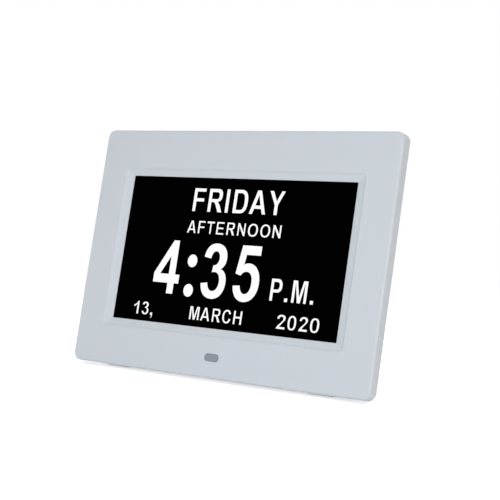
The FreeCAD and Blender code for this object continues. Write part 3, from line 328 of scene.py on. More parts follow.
class Slot(Enum):
    """The record's material slots, each with its finish."""

    CASING = Finish(
        "white_moulding", (0.61, 0.652, 0.7), (0.59, 0.634, 0.684), (0.46, 0.56),
        drift=0.6, patches=9.0, relief=2e-5, specular=0.35,
    )
    SCREEN = Finish(
        "screen_black", (0.0002,) * 3, (0.0003,) * 3, (0.16, 0.2),
        grains=9000.0, relief=4e-7, specular=0.003,
    )
    WINDOW = Finish(
        "smoked_window", (0.25, 0.296, 0.347), (0.232, 0.278, 0.324), (0.2, 0.26),
        grains=5000.0, relief=1e-6, specular=0.4,
    )
    RUBBER = Finish(
        "pale_rubber", (0.56, 0.59, 0.62), (0.52, 0.55, 0.58), (0.7, 0.82),
        patches=200.0, specular=0.3,
    )
    STEEL = Finish(
        "plated_steel", (0.6, 0.6, 0.59), (0.5, 0.5, 0.49), (0.28, 0.4),
        metallic=1.0, patches=300.0, lines=True,
    )
    GLASS = Finish(
        "cell_glass", (0.72, 0.78, 0.78), (0.7, 0.76, 0.77), (0.04, 0.08), transmission=0.6
    )
    FILM = Finish("white_film", (0.84, 0.84, 0.83), (0.8, 0.8, 0.79), (0.35, 0.45))
    ACRYLIC = Finish(
        "guide_acrylic", (0.85, 0.88, 0.88), (0.82, 0.86, 0.87), (0.05, 0.1), transmission=0.7
    )
    BOARD = Finish(
        "solder_mask", (0.015, 0.12, 0.045), (0.02, 0.17, 0.06), (0.3, 0.42),
        patches=400.0, grains=1500.0,
    )
    BLACK_PLASTIC = Finish(
        "black_moulding", (0.018, 0.018, 0.02), (0.025, 0.025, 0.027), (0.4, 0.5)
    )
    WHITE_PLASTIC = Finish("cream_moulding", (0.7, 0.68, 0.62), (0.66, 0.64, 0.58), (0.4, 0.5))
    WASHER = Finish("washer_nylon", (0.74, 0.73, 0.69), (0.7, 0.69, 0.65), (0.4, 0.5))
    PLATED = Finish(
        "bright_plating", (0.74, 0.73, 0.71), (0.66, 0.65, 0.63), (0.14, 0.24),
        metallic=1.0, patches=250.0,
    )
    ALUMINIUM = Finish(
        "drawn_aluminium", (0.7, 0.7, 0.71), (0.62, 0.62, 0.63), (0.26, 0.36),
        metallic=1.0, lines=True,
    )
    BRASS = Finish(
        "plated_brass", (0.78, 0.6, 0.28), (0.7, 0.52, 0.22), (0.22, 0.34), metallic=1.0
    )
    FERRITE = Finish(
        "sintered_ferrite", (0.035, 0.035, 0.038), (0.055, 0.055, 0.058), (0.55, 0.7), relief=3e-5
    )
    PAPER = Finish("pressed_paper", (0.04,) * 3, (0.06, 0.06, 0.058), (0.8, 0.9), relief=4e-5)
    FLEX = Finish("flat_cable", (0.5, 0.24, 0.05), (0.42, 0.19, 0.04), (0.25, 0.35))
    LEAD = Finish("lead_sleeve", (0.42, 0.03, 0.025), (0.36, 0.025, 0.02), (0.35, 0.45))
    LAMP = LitFinish(
        "lit_white", (0.02,) * 3, (0.03,) * 3, (0.3, 0.35),
        grains=9000.0, relief=3e-7, specular=0.02,
    )

    @property
    def label(self) -> str:
        """What the record calls the slot."""
        return self.name.lower()


CAP_GREY = Finish(
    "cap_grey", (0.5, 0.53, 0.57), (0.47, 0.5, 0.54), (0.42, 0.5),
    grains=4000.0, relief=5e-6, specular=0.35,
)
SIGN_GREY = Finish(
    "sign_grey", (0.07, 0.075, 0.085), (0.09, 0.095, 0.105), (0.45, 0.55),
    grains=4000.0, relief=4e-6,
)


# Shaping


@cache
def casing_place() -> Matrix:
    """From the casing's millimetres to the row frame, read from the record's two keyholes.

    The casing leans: its x runs right, y up the casing and z out of its front.

    Returns:
        The placement, with its scale from millimetres to metres.
    """
    mounts = {mount["name"]: mount for mount in frame["record"]["mounts"]}
    left, right = mounts["wall_keyhole_left"], mounts["wall_keyhole_right"]
    front = -Vector(left["axis"]).normalized()
    across = Vector((1.0, 0.0, 0.0))
    up = front.cross(across)
    turn = Matrix((across, up, front)).transposed().to_4x4()
    middle = (Vector(left["pos_m"]) + Vector(right["pos_m"])) / 2
    origin = middle - up * KEYHOLE_HEIGHT * MM + front * KEYHOLE_DEPTH * MM
    return Matrix.Translation(origin) @ turn @ Matrix.Scale(MM, 4)


@dataclass(frozen=True)
class Ring:
    """One rounded rectangle of a stack, in millimetres.

    soft is how far from this ring the edge there starts to round.
    """

    width: float
    height: float
    corner: float
    depth: float
    soft: float = 0.0

    def inset(self, by: float, depth: float, soft: float = 0.0) -> "Ring":
        """A ring that much smaller all round, at another depth."""
        return Ring(self.width - 2 * by, self.height - 2 * by, self.corner - by, depth, soft)

    def at(self, depth: float, soft: float = 0.0) -> "Ring":
        """The same outline at another depth."""
        return self.inset(0.0, depth, soft)

    def grown(self, side: float, end: float, corner: float, depth: float) -> "Ring":
        """A ring that reaches this much further at its sides and ends."""
        return Ring(self.width + 2 * side, self.height + 2 * end, corner, depth)

    def towards(self, other: "Ring", share: float) -> "Ring":
        """The ring that lies this share of the way to another one."""
        return Ring(*(a + (b - a) * share for a, b in zip(astuple(self), astuple(other))))

    def distance(self, other: "Ring") -> float:
        """How far apart two rings lie, across the middle of their right sides."""
        return math.hypot((self.width - other.width) / 2, self.depth - other.depth)


def softened(rings: Sequence[Ring], steps: int = 3) -> list[Ring]:
    """Replace each soft ring by a few that round its edge.

    Args:
        rings: the stack; the end rings of an open one aren't soft.
        steps: how many rings each round adds.

    Returns:
        The stack with its edges rounded.
    """
    most = 0.45  # share of a span that a round may take up
    result = []
    for i, ring in enumerate(rings):
        if ring.soft <= 0:
            result.append(ring)
            continue
        before = rings[i - 1]
        after = rings[(i + 1) % len(rings)]
        start = ring.towards(before, min(most, ring.soft / ring.distance(before)))
        end = ring.towards(after, min(most, ring.soft / ring.distance(after)))
        for step in range(steps + 1):
            t = step / steps
            result.append(start.towards(ring, t).towards(ring.towards(end, t), t))
    return result


def quarter(ring: Ring, radius: float, rising: bool, steps: int = 8) -> list[Ring]:
    """Rings of a quarter-round edge of a block.

    Args:
        ring: the block's outline at the level of its sharp edge.
        radius: the radius of the round.
        rising: True where the round leads from the face to the side.
        steps: how many facets the round has.

    Returns:
        The rings, from the face to the side or back.
    """
    rings = []
    for step in range(steps + 1):
        turn = math.pi / 2 * step / steps
        drop = radius * (1 - math.cos(turn))
        depth = ring.depth + (drop if rising else -drop)
        rings.append(ring.inset(radius * (1 - math.sin(turn)), depth))
    return rings if rising else rings[::-1]


def shaded(mesh: bpy.types.Mesh, sharp: float = CRISP) -> None:
    """Shade a mesh smooth, with edges crisp from a bend of this many degrees."""
    mesh.shade_smooth()
    mesh.set_sharp_from_angle(angle=math.radians(sharp))


def linked(name: str, data: bpy.types.ID) -> bpy.types.Object:
    """Put a mesh, curve, light or camera in the scene as an object."""
    made = bpy.data.objects.new(name, data)
    bpy.context.scene.collection.objects.link(made)
    return made


def shown(mesh: bmesh.types.BMesh, name: str, sharp: float = CRISP) -> bpy.types.Object:
    """Turn a finished bmesh into a smooth-shaded object with crisp edges.

    Args:
        mesh: the bmesh, in the row frame.
        name: the object's name.
        sharp: edges that bend more than this many degrees stay crisp.

    Returns:
        The object, at the origin, unturned and unscaled.
    """
    data = bpy.data.meshes.new(name)
    mesh.to_mesh(data)
    mesh.free()
    shaded(data, sharp)
    return linked(name, data)


def cleaned(mesh: bmesh.types.BMesh, gap: float, bend: float) -> None:
    """Merge points closer than the gap and dissolve edges of less bend, in degrees."""
    bmesh.ops.remove_doubles(mesh, verts=mesh.verts, dist=gap)
    flat = math.radians(bend)
    bmesh.ops.dissolve_limit(mesh, angle_limit=flat, verts=mesh.verts, edges=mesh.edges)


def as_mesh(source: bpy.types.Object) -> bpy.types.Mesh:
    """Take what an object looks like now, with its modifiers, as a mesh of its own."""
    bpy.context.view_layer.update()
    evaluated = source.evaluated_get(bpy.context.evaluated_depsgraph_get())
    return bpy.data.meshes.new_from_object(evaluated)


def carved(piece: bpy.types.Object, cutter: bpy.types.Object) -> None:
    """Cut a shape out of a piece and keep the result as its mesh.

    Args:
        piece: the piece.
        cutter: a closed shape, removed afterwards.
    """
    cut = piece.modifiers.new("carve", "BOOLEAN")
    cut.operation = "DIFFERENCE"
    cut.solver = "EXACT"
    cut.object = cutter
    result = as_mesh(piece)
    piece.modifiers.clear()
    spent = (piece.data, cutter.data)
    piece.data = result
    bpy.data.objects.remove(cutter)
    for mesh in spent:
        bpy.data.meshes.remove(mesh)
    result.name = piece.name
    shaded(result)


def even_normals(piece: bpy.types.Object) -> None:
    """Let large flat faces set the shading where they meet small rounds."""
    weighted = piece.modifiers.new("even_normals", "WEIGHTED_NORMAL")
    weighted.keep_sharp = True
    weighted.weight = 60


@dataclass
class Shaper:
    """A bmesh in casing millimetres, with the operators that the pieces share.

    centre is where the middle of its rings is, and facets how many each corner has.
    """

    centre: tuple[float, float] = (0.0, 0.0)
    facets: int = 10
    step_away: float = 9.0
    merge: float = 1e-5
    mesh: bmesh.types.BMesh = field(default_factory=bmesh.new)

    def outline(self, ring: Ring) -> bmesh.types.BMFace:
        """Make one flat face with rounded corners.

        Args:
            ring: its size and depth.

        Returns:
            The face.
        """
        before = set(self.mesh.faces)
        spread = Matrix.Diagonal((ring.width, ring.height, 1, 1))
        place = Matrix.Translation((*self.centre, -ring.depth)) @ spread
        grid = {"x_segments": 1, "y_segments": 1, "size": 0.5}
        made = bmesh.ops.create_grid(self.mesh, **grid, matrix=place)
        bmesh.ops.bevel(
            self.mesh, geom=made["verts"], offset=ring.corner, offset_type="OFFSET",
            segments=self.facets, profile=0.5, affect="VERTICES", material=-1,
            clamp_overlap=False,
        )
        return next(face for face in self.mesh.faces if face not in before)

    def stack(self, rings: Sequence[Ring], closed: bool = False) -> None:
        """Skin a stack of rings.

        Args:
            rings: the rings in order.
            closed: whether the last joins the first; otherwise both ends are capped.
        """
        faces = [self.outline(ring) for ring in rings]
        spans = list(zip(faces, faces[1:]))
        if closed:
            spans.append((faces[-1], faces[0]))
        for first, second in spans:
            # Level rings bridge askew, so the second one steps away while it is joined.
            rising = second.verts[0].co.z >= first.verts[0].co.z
            step = Vector((0.0, 0.0, self.step_away if rising else -self.step_away))
            bmesh.ops.translate(self.mesh, vec=step, verts=second.verts)
            bmesh.ops.bridge_loops(self.mesh, edges=[*first.edges, *second.edges])
            bmesh.ops.translate(self.mesh, vec=-step, verts=second.verts)
        inner = faces if closed else faces[1:-1]
        bmesh.ops.delete(self.mesh, geom=inner, context="FACES_ONLY")

    def bar(self, start: Vector, end: Vector, width: float, height: float, ease: float) -> None:
        """Add a straight bar of rectangular section with eased edges.

        Args:
            start: the middle of one end.
            end: the middle of the other end.
            width: its size across, in the plane of the casing.
            height: its size in depth.
            ease: how far its edges are rounded.
        """
        run = end - start
        turn = Vector((1, 0, 0)).rotation_difference(run).to_matrix().to_4x4()
        spread = Matrix.Diagonal((run.length, width, height, 1))
        place = Matrix.Translation((start + end) / 2) @ turn @ spread
        made = bmesh.ops.create_cube(self.mesh, size=1.0, matrix=place)
        edges = dict.fromkeys(edge for vert in made["verts"] for edge in vert.link_edges)
        bmesh.ops.bevel(
            self.mesh, geom=list(edges), offset=ease, segments=2, profile=0.5,
            affect="EDGES", material=-1, clamp_overlap=True,
        )

    def done(self, name: str) -> bpy.types.Object:
        """Stand the shape in the row frame as an object of this name.

        Args:
            name: the piece's name.

        Returns:
            The object, at the origin, unturned and unscaled.
        """
        bmesh.ops.remove_doubles(self.mesh, verts=self.mesh.verts, dist=self.merge)
        bmesh.ops.transform(self.mesh, matrix=casing_place(), verts=self.mesh.verts)
        bmesh.ops.recalc_face_normals(self.mesh, faces=self.mesh.faces)
        return shown(self.mesh, name)


# Sub-assemblies


@dataclass
class Assembly:
    """What the sub-assemblies share: their list of pieces and how these are handed over."""

    made: list[bpy.types.Object] = field(default_factory=list)

    def build(self) -> None:
        """Make the pieces, which each sub-assembly does in its own way."""
        raise NotImplementedError

    def hand_over(
        self,
        piece: bpy.types.Object,
        slot: Slot,
        replaces: Sequence[str] = (),
        body: str = Body.CASING.value,
        finish: Optional[Finish] = None,
    ) -> None:
        """Dress a finished piece and hang it on its body.

        Args:
            piece: the piece.
            slot: the record's slot that it takes its finish from.
            replaces: the CAD nodes that it stands for.
            body: the body it rides on.
            finish: its surface, if not the one that its slot has.
        """
        piece.data.materials.clear()
        piece.data.materials.append((finish or slot.value).material())
        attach(piece, body)
        if replaces:
            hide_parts(*replaces)
        self.made.append(piece)

    def refined(
        self, node: str, slot: Slot, body: str = Body.CASING.value, edge: float = 0.0
    ) -> None:
        """Stand a smooth-shaded copy in for a CAD node.

        Args:
            node: the CAD node.
            slot: the record's slot.
            body: the body it rides on.
            edge: how far its sharp edges are eased, in millimetres.
        """
        mesh = bmesh.new()
        mesh.from_mesh(frame["nodes"][node].data)
        cleaned(mesh, gap=2e-6, bend=0.5)
        piece = shown(mesh, node + "_shaped", EASED_CRISP if edge > 0 else CRISP)
        if edge > 0:
            eased = piece.modifiers.new("eased_edges", "BEVEL")
            eased.width = edge * MM
            eased.segments = 2
            eased.limit_method = "ANGLE"
            eased.angle_limit = math.radians(40.0)
            eased.use_clamp_overlap = True
            even_normals(piece)
        self.hand_over(piece, slot, [node], body)


@dataclass
class Interior(Assembly):
    """Everything inside the housing, kept as the CAD has it."""

    def build(self) -> None:
        """Give each CAD node the finish of its slot."""
        for part in frame["record"]["subparts"]:
            node = frame["nodes"][part["node"]]
            node.data.materials.clear()
            node.data.materials.append(Slot[part["material_slot"].upper()].value.material())
            self.made.append(node)


@dataclass
class InfraredWindow(Assembly):
    """The smoked window below the screen.

    lip_steps are shares of the lip with their depths; crown_steps are insets with theirs.
    """

    width: float = 9.7
    height: float = 4.2
    corner: float = 1.9
    y: float = -59.1
    fit: float = 0.1
    flange: float = 1.2
    flange_depth: float = 1.0
    flange_crease: float = 0.1
    wall: float = 2.3
    sunk: float = 0.1
    lip: float = 0.22
    lip_steps: tuple[tuple[float, float], ...] = ((1.0, -0.02), (0.35, 0.06), (0.0, 0.2))
    crown_steps: tuple[tuple[float, float], ...] = (
        (0.8, 0.0), (0.35, 0.04), (0.1, 0.16), (0.0, 0.35),
    )
    cut_past: float = 0.5
    corner_facets: int = 8

    @property
    def hole(self) -> Ring:
        """The hole's outline, at the face."""
        return Ring(self.width, self.height, self.corner, 0.0)

    def cutter(self) -> bpy.types.Object:
        """The shape that cuts the window's hole, with a fine chamfer at the face.

        Returns:
            The closed shape.
        """
        rings = [self.hole.inset(-self.lip * share, depth) for share, depth in self.lip_steps]
        rings.append(self.hole.at(self.wall + self.cut_past))
        shape = Shaper((0.0, self.y), self.corner_facets)
        shape.stack(rings)
        return shape.done("window_cutter")

    def build(self) -> None:
        """Mould the window with a soft edge and its flange."""
        lens = self.hole.inset(self.fit, 0.0)
        back = self.wall + self.flange_depth
        flange = self.hole.grown(self.flange, self.flange, self.corner, back)
        rings = [
            *(lens.inset(by, self.sunk + depth) for by, depth in self.crown_steps),
            lens.at(self.wall),
            flange.at(self.wall, self.flange_crease),
            flange,
        ]
        shape = Shaper((0.0, self.y), self.corner_facets)
        shape.stack(softened(rings))
        self.hand_over(shape.done("window_lens"), Slot.WINDOW, ["ir_window"])


@dataclass
class FrontBezel(Assembly):
    """The white front moulding with its recess and rim."""

    window: InfraredWindow = field(default_factory=InfraredWindow)
    width: float = 203.5
    height: float = 141.2
    corner: float = 4.8
    depth: float = 7.4
    wall: float = 2.3
    side_wall: float = 2.0
    front_round: float = 1.5
    rear_round: float = 0.5
    rear_facets: int = 4
    screen_width: float = 154.08
    screen_height: float = 85.92
    opening_corner: float = 0.4
    recess_side: float = 5.56
    recess_end: float = 4.64
    recess_corner: float = 2.2
    bevel: float = 1.0
    bevel_depth: float = 0.7
    bevel_crease: float = 0.3
    slope_depth: float = 1.9
    crisp: float = 0.12
    seam: float = 0.1
    seam_width: float = 0.3
    seam_depth: float = 0.12

    @property
    def opening(self) -> Ring:
        """The screen's opening, at the level of the face."""
        return Ring(self.screen_width, self.screen_height, self.opening_corner, 0.0)

    def on_slope(self, inset: float, sunk: float = 0.0, soft: float = 0.0) -> Ring:
        """A ring on the sloped border of the recess.

        Args:
            inset: how far it lies inside the border's outer edge.
            sunk: how far it lies below the slope.
            soft: how far its edge is rounded.

        Returns:
            The ring.
        """
        side, end = self.recess_side, self.recess_end
        recess = self.opening.grown(side, end, self.recess_corner, 0.0)
        return recess.inset(inset, self.bevel_depth * inset / self.bevel + sunk, soft)

    def rings(self) -> list[Ring]:
        """The closed profile, from the screen opening round the outside and back.

        Returns:
            The rings with their edges rounded.
        """
        face = Ring(self.width, self.height, self.corner, 0.0)
        rings = [
            self.opening.at(self.wall, self.crisp),
            self.opening.at(self.slope_depth, self.crisp),
            self.on_slope(self.bevel, soft=self.bevel_crease),
            self.on_slope(self.seam + self.seam_width),
            self.on_slope(self.seam + self.seam_width / 2, self.seam_depth),
            self.on_slope(self.seam),
            self.on_slope(0.0, soft=self.crisp),
            *quarter(face, self.front_round, True),
            *quarter(face.at(self.depth), self.rear_round, False, self.rear_facets),
            face.inset(self.side_wall, self.depth, self.crisp),
            face.inset(self.side_wall, self.wall, self.crisp),
        ]
        return softened(rings)

    def build(self) -> None:
        """Mould the bezel and cut the window's hole."""
        shape = Shaper()
        shape.stack(self.rings(), closed=True)
        piece = shape.done("bezel_moulding")
        carved(piece, self.window.cutter())
        even_normals(piece)
        self.hand_over(piece, Slot.CASING, ["front_bezel"])


# Outlines of the bold characters, each in a box of 100 by 100: M starts one, lines join the
# points that follow, C leads arcs by two handles and an end each, L leads back to lines, Z closes
OUTLINES: dict[str, str] = {
    "F": "M0 0 28 0 28 42 92 42 92 58 28 58 28 84 100 84 100 100 0 100 Z",
    "R": "M0 0 23 0 23 42 32 42 C41 42 46 37 52 28 L70 0 100 0 85 24 C79 34 73 40 66 43.5 84 46"
    " 93 56 93 72 93 91 83 100 60 100 L0 100 Z M23 57 23 84 56 84 C66 84 69 79 69 71 69 62 66 57"
    " 55 57 Z",
    "I": "M0 0 100 0 100 100 0 100 Z",
    "D": "M0 0 50 0 C84 0 100 17 100 50 100 83 84 100 50 100 L0 100 Z M24 16 24 84 47 84 C68 84"
    " 75 74 75 50 75 26 68 16 47 16 Z",
    "A": "M0 0 22 0 31 22 69 22 78 0 100 0 62 100 38 100 Z M37 38 63 38 50 76 Z",
    "Y": "M39 0 62 0 62 42 100 100 75 100 50.5 60 26 100 0 100 39 42 Z",
    "T": "M38 0 62 0 62 84 100 84 100 100 0 100 0 84 38 84 Z",
    "E": "M0 0 100 0 100 16 25 16 25 42 92 42 92 58 25 58 25 84 98 84 98 100 0 100 Z",
    "N": "M0 0 23 0 23 65 76 0 100 0 100 100 77 100 77 37 25 100 0 100 Z",
    "O": "M50 -1 C80 -1 100 18 100 50 100 82 80 101 50 101 20 101 0 82 0 50 0 18 20 -1 50 -1 Z"
    " M50 15 C33 15 21 27 21 50 21 73 33 85 50 85 67 85 79 73 79 50 79 27 67 15 50 15 Z",
    "P": "M0 0 27 0 27 37 50 37 C83 37 100 48 100 68.5 100 90 84 100 56 100 L0 100 Z M27 53 27 84"
    " 52 84 C67 84 73 79 73 69 73 58 67 53 50 53 Z",
    "M": "M0 0 20 0 20 76 39 0 61 0 80 76 80 0 100 0 100 100 69 100 50 32 31 100 0 100 Z",
    "C": "M77 41 100 34 C94 11 78 -1 54 -1 22 -1 0 18 0 50 0 82 22 101 55 101 76 101 92 91 98 70"
    " L75 64 C72 77 65 85 54 85 34 85 24 73 24 50 24 27 34 15 54 15 66 15 74 25 77 41 Z",
    "H": "M0 0 25 0 25 43 75 43 75 0 100 0 100 100 75 100 75 60 25 60 25 100 0 100 Z",
    "0": "M50 -1 C84 -1 100 17 100 50 100 84 84 101 50 101 16 101 0 84 0 50 0 17 16 -1 50 -1 Z"
    " M50 14.5 C34 14.5 27 25 27 50 27 76 35 85.5 50 85.5 65 85.5 73 76 73 50 73 25 66 14.5 50"
    " 14.5 Z",
    "1": "M60 0 100 0 100 100 69 100 C60 86 38 75 0 69 L0 52 C25 56 45 63 60 72 Z",
    "2": "M0 0 100 0 100 18 42 18 C50 28 60 36 75 48 92 61 98 68 98 76 98 92 80 101 52 101 24 101"
    " 6 91 3 70 L30 67 C31 80 39 85 51 85 63 85 70 80 70 71.5 70 62 60 56 40 42 17 26 3 14 0 0 Z",
    "3": "M0 27.3 28 29.5 C31 20 39 15 49 15 63 15 72 22 72 32 72 43 62 48 50 48 46 48 42 47.5 38"
    " 46.5 L41 60.5 C54 60.5 62 66 62 73.5 62 80.5 56 85 47 85 38 85 32 80.5 30 71.5 L1 74 C5 91"
    " 20 100 47 100 76 100 93 89 93 74.5 93 65 86 58 75 54.5 92 51.5 100 43 100 31 100 12 79 0 50"
    " 0 22 0 3 10 0 27.3 Z",
    "4": "M57 0 83 0 83 20 100 20 100 37 83 37 83 100 61 100 0 37.5 0 20 57 20 Z M57 37 57 68"
    " 26.5 37 Z",
    "5": "M18.6 100 93 100 93 82.6 39.5 82.6 35 66.5 C40 68.5 46 69 52 69 80 69 100 56 100 35 100"
    " 14 78 0 48 0 21 0 3 10.5 0 27.8 L28.5 29.3 C31 20 38.5 15 48.5 15 61 15 69.5 22 69.5 35"
    " 69.5 47 60.5 53 47.5 53 38.5 53 31 50.5 26.5 45.5 L4 48.6 Z",
    ".": "M0 0 100 0 100 100 0 100 Z",
    ",": "M0 100 100 100 100 52 C100 22 78 4 20 0 L10 12 C38 17 52 28 53 50 L0 50 Z",
    ":": "M50 0 C77.6 0 100 6.9 100 15.5 100 24.1 77.6 31 50 31 22.4 31 0 24.1 0 15.5 0 6.9 22.4"
    " 0 50 0 Z M50 69 C77.6 69 100 75.9 100 84.5 100 93.1 77.6 100 50 100 22.4 100 0 93.1 0 84.5"
    " 0 75.9 22.4 69 50 69 Z",
}
# The shares of a word's height that a mark takes up and that it hangs below the line
LOW_MARKS: dict[str, tuple[float, float]] = {".": (0.185, 0.0), ",": (0.45, 0.22)}


@dataclass(frozen=True)
class Word:
    """One group of characters on the screen, in millimetres from the screen's middle.

    edges gives the left and right end of each character, one pair after another.
    """

    name: str
    text: str
    top: float
    bottom: float
    edges: tuple[float, ...]

    def spot(self, number: int, x: float, y: float) -> Vector:
        """From the box of 100 by 100 round one character to the screen.

        Args:
            number: which character it is.
            x: how far across the box.
            y: how far up the box.

        Returns:
            The place on the screen.
        """
        left, right = self.edges[2 * number : 2 * number + 2]
        share, drop = LOW_MARKS.get(self.text[number], (1.0, 0.0))
        height = self.top - self.bottom
        low, rise = self.bottom - height * drop, height * share
        return Vector((left + (right - left) * x / 100, low + rise * y / 100, 0.0))

    def flat_mesh(self, facets: int) -> bpy.types.Mesh:
        """Fill the outlines of all its characters.

        Args:
            facets: how many straight runs each arc has.

        Returns:
            The flat mesh, in the plane of the screen.
        """
        curve = bpy.data.curves.new(self.name, "CURVE")
        curve.dimensions = "2D"
        curve.fill_mode = "BOTH"
        curve.resolution_u = facets
        for number, character in enumerate(self.text):
            for part in OUTLINES[character].split("Z"):
                if part.strip():
                    self._add_outline(curve, part, number)
        holder = linked(self.name + "_curve", curve)
        flat = as_mesh(holder)
        bpy.data.objects.remove(holder)
        bpy.data.curves.remove(curve)
        return flat

    def _add_outline(self, curve: bpy.types.Curve, outline: str, number: int) -> None:
        """Add one closed outline to a flat curve.

        Args:
            curve: the curve.
            outline: its run of points, as in OUTLINES.
            number: which character it belongs to.
        """
        same_spot = 1e-9
        points: list[dict[str, Vector]] = []
        for kind, run in re.findall(r"([MLC])([^MLC]*)", outline):
            values = [float(value) for value in run.split()]
            spots = [self.spot(number, x, y) for x, y in zip(values[::2], values[1::2])]
            if kind != "C":
                points += [{"at": spot} for spot in spots]
                continue
            for first, second, spot in zip(spots[::3], spots[1::3], spots[2::3]):
                points[-1]["right"] = first
                points.append({"at": spot, "left": second})
        if (points[0]["at"] - points[-1]["at"]).length < same_spot:
            last = points.pop()
            points[0]["left"] = last.get("left", points[0]["at"])
        spline = curve.splines.new("BEZIER")
        spline.bezier_points.add(len(points) - 1)
        for point, bezier in zip(points, spline.bezier_points):
            bezier.handle_left_type = bezier.handle_right_type = "FREE"
            bezier.co = point["at"]
            bezier.handle_left = point.get("left", point["at"])
            bezier.handle_right = point.get("right", point["at"])
        spline.use_cyclic_u = True


@dataclass
class ScreenModule(Assembly):
    """The seven-inch screen: its black face and the lit reading."""

    face_width: float = 156.6
    face_height: float = 88.44
    face_corner: float = 0.5
    face_edge: float = 0.05
    face_front: float = 2.6
    face_back: float = 2.8
    corner_facets: int = 4
    letter_front: float = 2.585
    letter_back: float = 2.61
    letter_facets: int = 14
    thinned: float = 0.18
    words: tuple[Word, ...] = (
        Word(
            "weekday", "FRIDAY", 36.9, 23.1,
            (-31.0, -22.5, -20.2, -9.7, -7.9, -5.5, -2.5, 7.5, 8.8, 20.3, 21.3, 32.0),
        ),
        Word(
            "part_of_day", "AFTERNOON", 17.85, 10.35,
            (
                -32.5, -25.9, -24.7, -19.7, -18.5, -13.1, -11.7, -6.2, -4.5, 1.5, 3.0, 8.5,
                10.1, 17.1, 18.5, 25.3, 26.8, 32.5,
            ),
        ),
        Word("hour", "4", 5.7, -25.8, (-51.8, -32.8)),
        Word("colon", ":", -1.8, -26.6, (-28.6, -21.5)),
        Word("minutes", "35", 5.5, -26.5, (-17.2, 0.3, 5.2, 22.9)),
        Word(
            "half_of_day", "P.M.", -11.7, -24.2,
            (30.85, 38.45, 40.45, 42.75, 44.95, 54.65, 56.85, 59.15),
        ),
        Word("day", "13,", -31.5, -39.3, (-62.8, -59.0, -56.7, -51.5, -50.2, -48.4)),
        Word(
            "month", "MARCH", -31.4, -39.2,
            (-21.65, -14.65, -13.85, -7.05, -5.65, 0.35, 1.35, 7.35, 8.95, 14.85),
        ),
        Word("year", "2020", -31.0, -39.0, (37.6, 43.6, 44.8, 50.5, 52.0, 57.8, 59.1, 65.0)),
    )

    def build(self) -> None:
        """Make the face and the whole reading."""
        self.build_face()
        for word in self.words:
            self.build_word(word)

    def build_face(self) -> None:
        """Lay the polariser, which makes the whole screen black."""
        face = Ring(self.face_width, self.face_height, self.face_corner, self.face_back)
        shoulder = face.at(self.face_front + self.face_edge)
        shape = Shaper(facets=self.corner_facets)
        shape.stack([face.inset(self.face_edge, self.face_front), shoulder, face])
        self.hand_over(shape.done("screen_face"), Slot.SCREEN, ["lcd_polariser"])

    def build_word(self, word: Word) -> None:
        """Set one group of lit characters into the screen's face.

        Args:
            word: the group.
        """
        flat = word.flat_mesh(self.letter_facets)
        shape = Shaper()
        mesh = shape.mesh
        mesh.from_mesh(flat)
        bpy.data.meshes.remove(flat)
        cleaned(mesh, gap=1e-4, bend=0.3)
        rim = bmesh.ops.inset_region(
            mesh, faces=mesh.faces[:], thickness=self.thinned,
            use_boundary=True, use_even_offset=True,
        )
        bmesh.ops.delete(mesh, geom=rim["faces"], context="FACES")
        grown = bmesh.ops.extrude_face_region(mesh, geom=mesh.faces[:])
        lifted = [item for item in grown["geom"] if isinstance(item, bmesh.types.BMVert)]
        rise = (0.0, 0.0, self.letter_back - self.letter_front)
        bmesh.ops.translate(mesh, vec=rise, verts=lifted)
        bmesh.ops.translate(mesh, vec=(0.0, 0.0, -self.letter_back), verts=mesh.verts)
        self.hand_over(shape.done("reading_" + word.name), Slot.LAMP)


@dataclass
class RearCover(Assembly):
    """The white rear moulding, its screws, the pads under the rim and the power inlet."""

    edge: float = 0.18
    pad_edge: float = 0.15

    def build(self) -> None:
        """Stand refined copies in for the moulding and what is fixed to it."""
        self.refined("rear_cover", Slot.CASING, edge=self.edge)
        self.refined("casing_screws", Slot.STEEL)
        self.refined("casing_feet", Slot.RUBBER, edge=self.pad_edge)
        self.refined("dc_jack", Slot.BLACK_PLASTIC)
        self.refined("dc_jack_pin", Slot.BRASS)


@dataclass
class Stand(Assembly):
    """The fold-out leg with its foot, and the pin it turns on."""

    edge: float = 0.3

    def build(self) -> None:
        """Stand refined copies in for the leg, the foot, the pin and the washers."""
        self.refined("stand_leg", Slot.CASING, Body.STAND.value, self.edge)
        self.refined("stand_foot", Slot.RUBBER, Body.STAND.value)
        self.refined("stand_pin", Slot.STEEL)
        self.refined("stand_washers", Slot.WASHER)


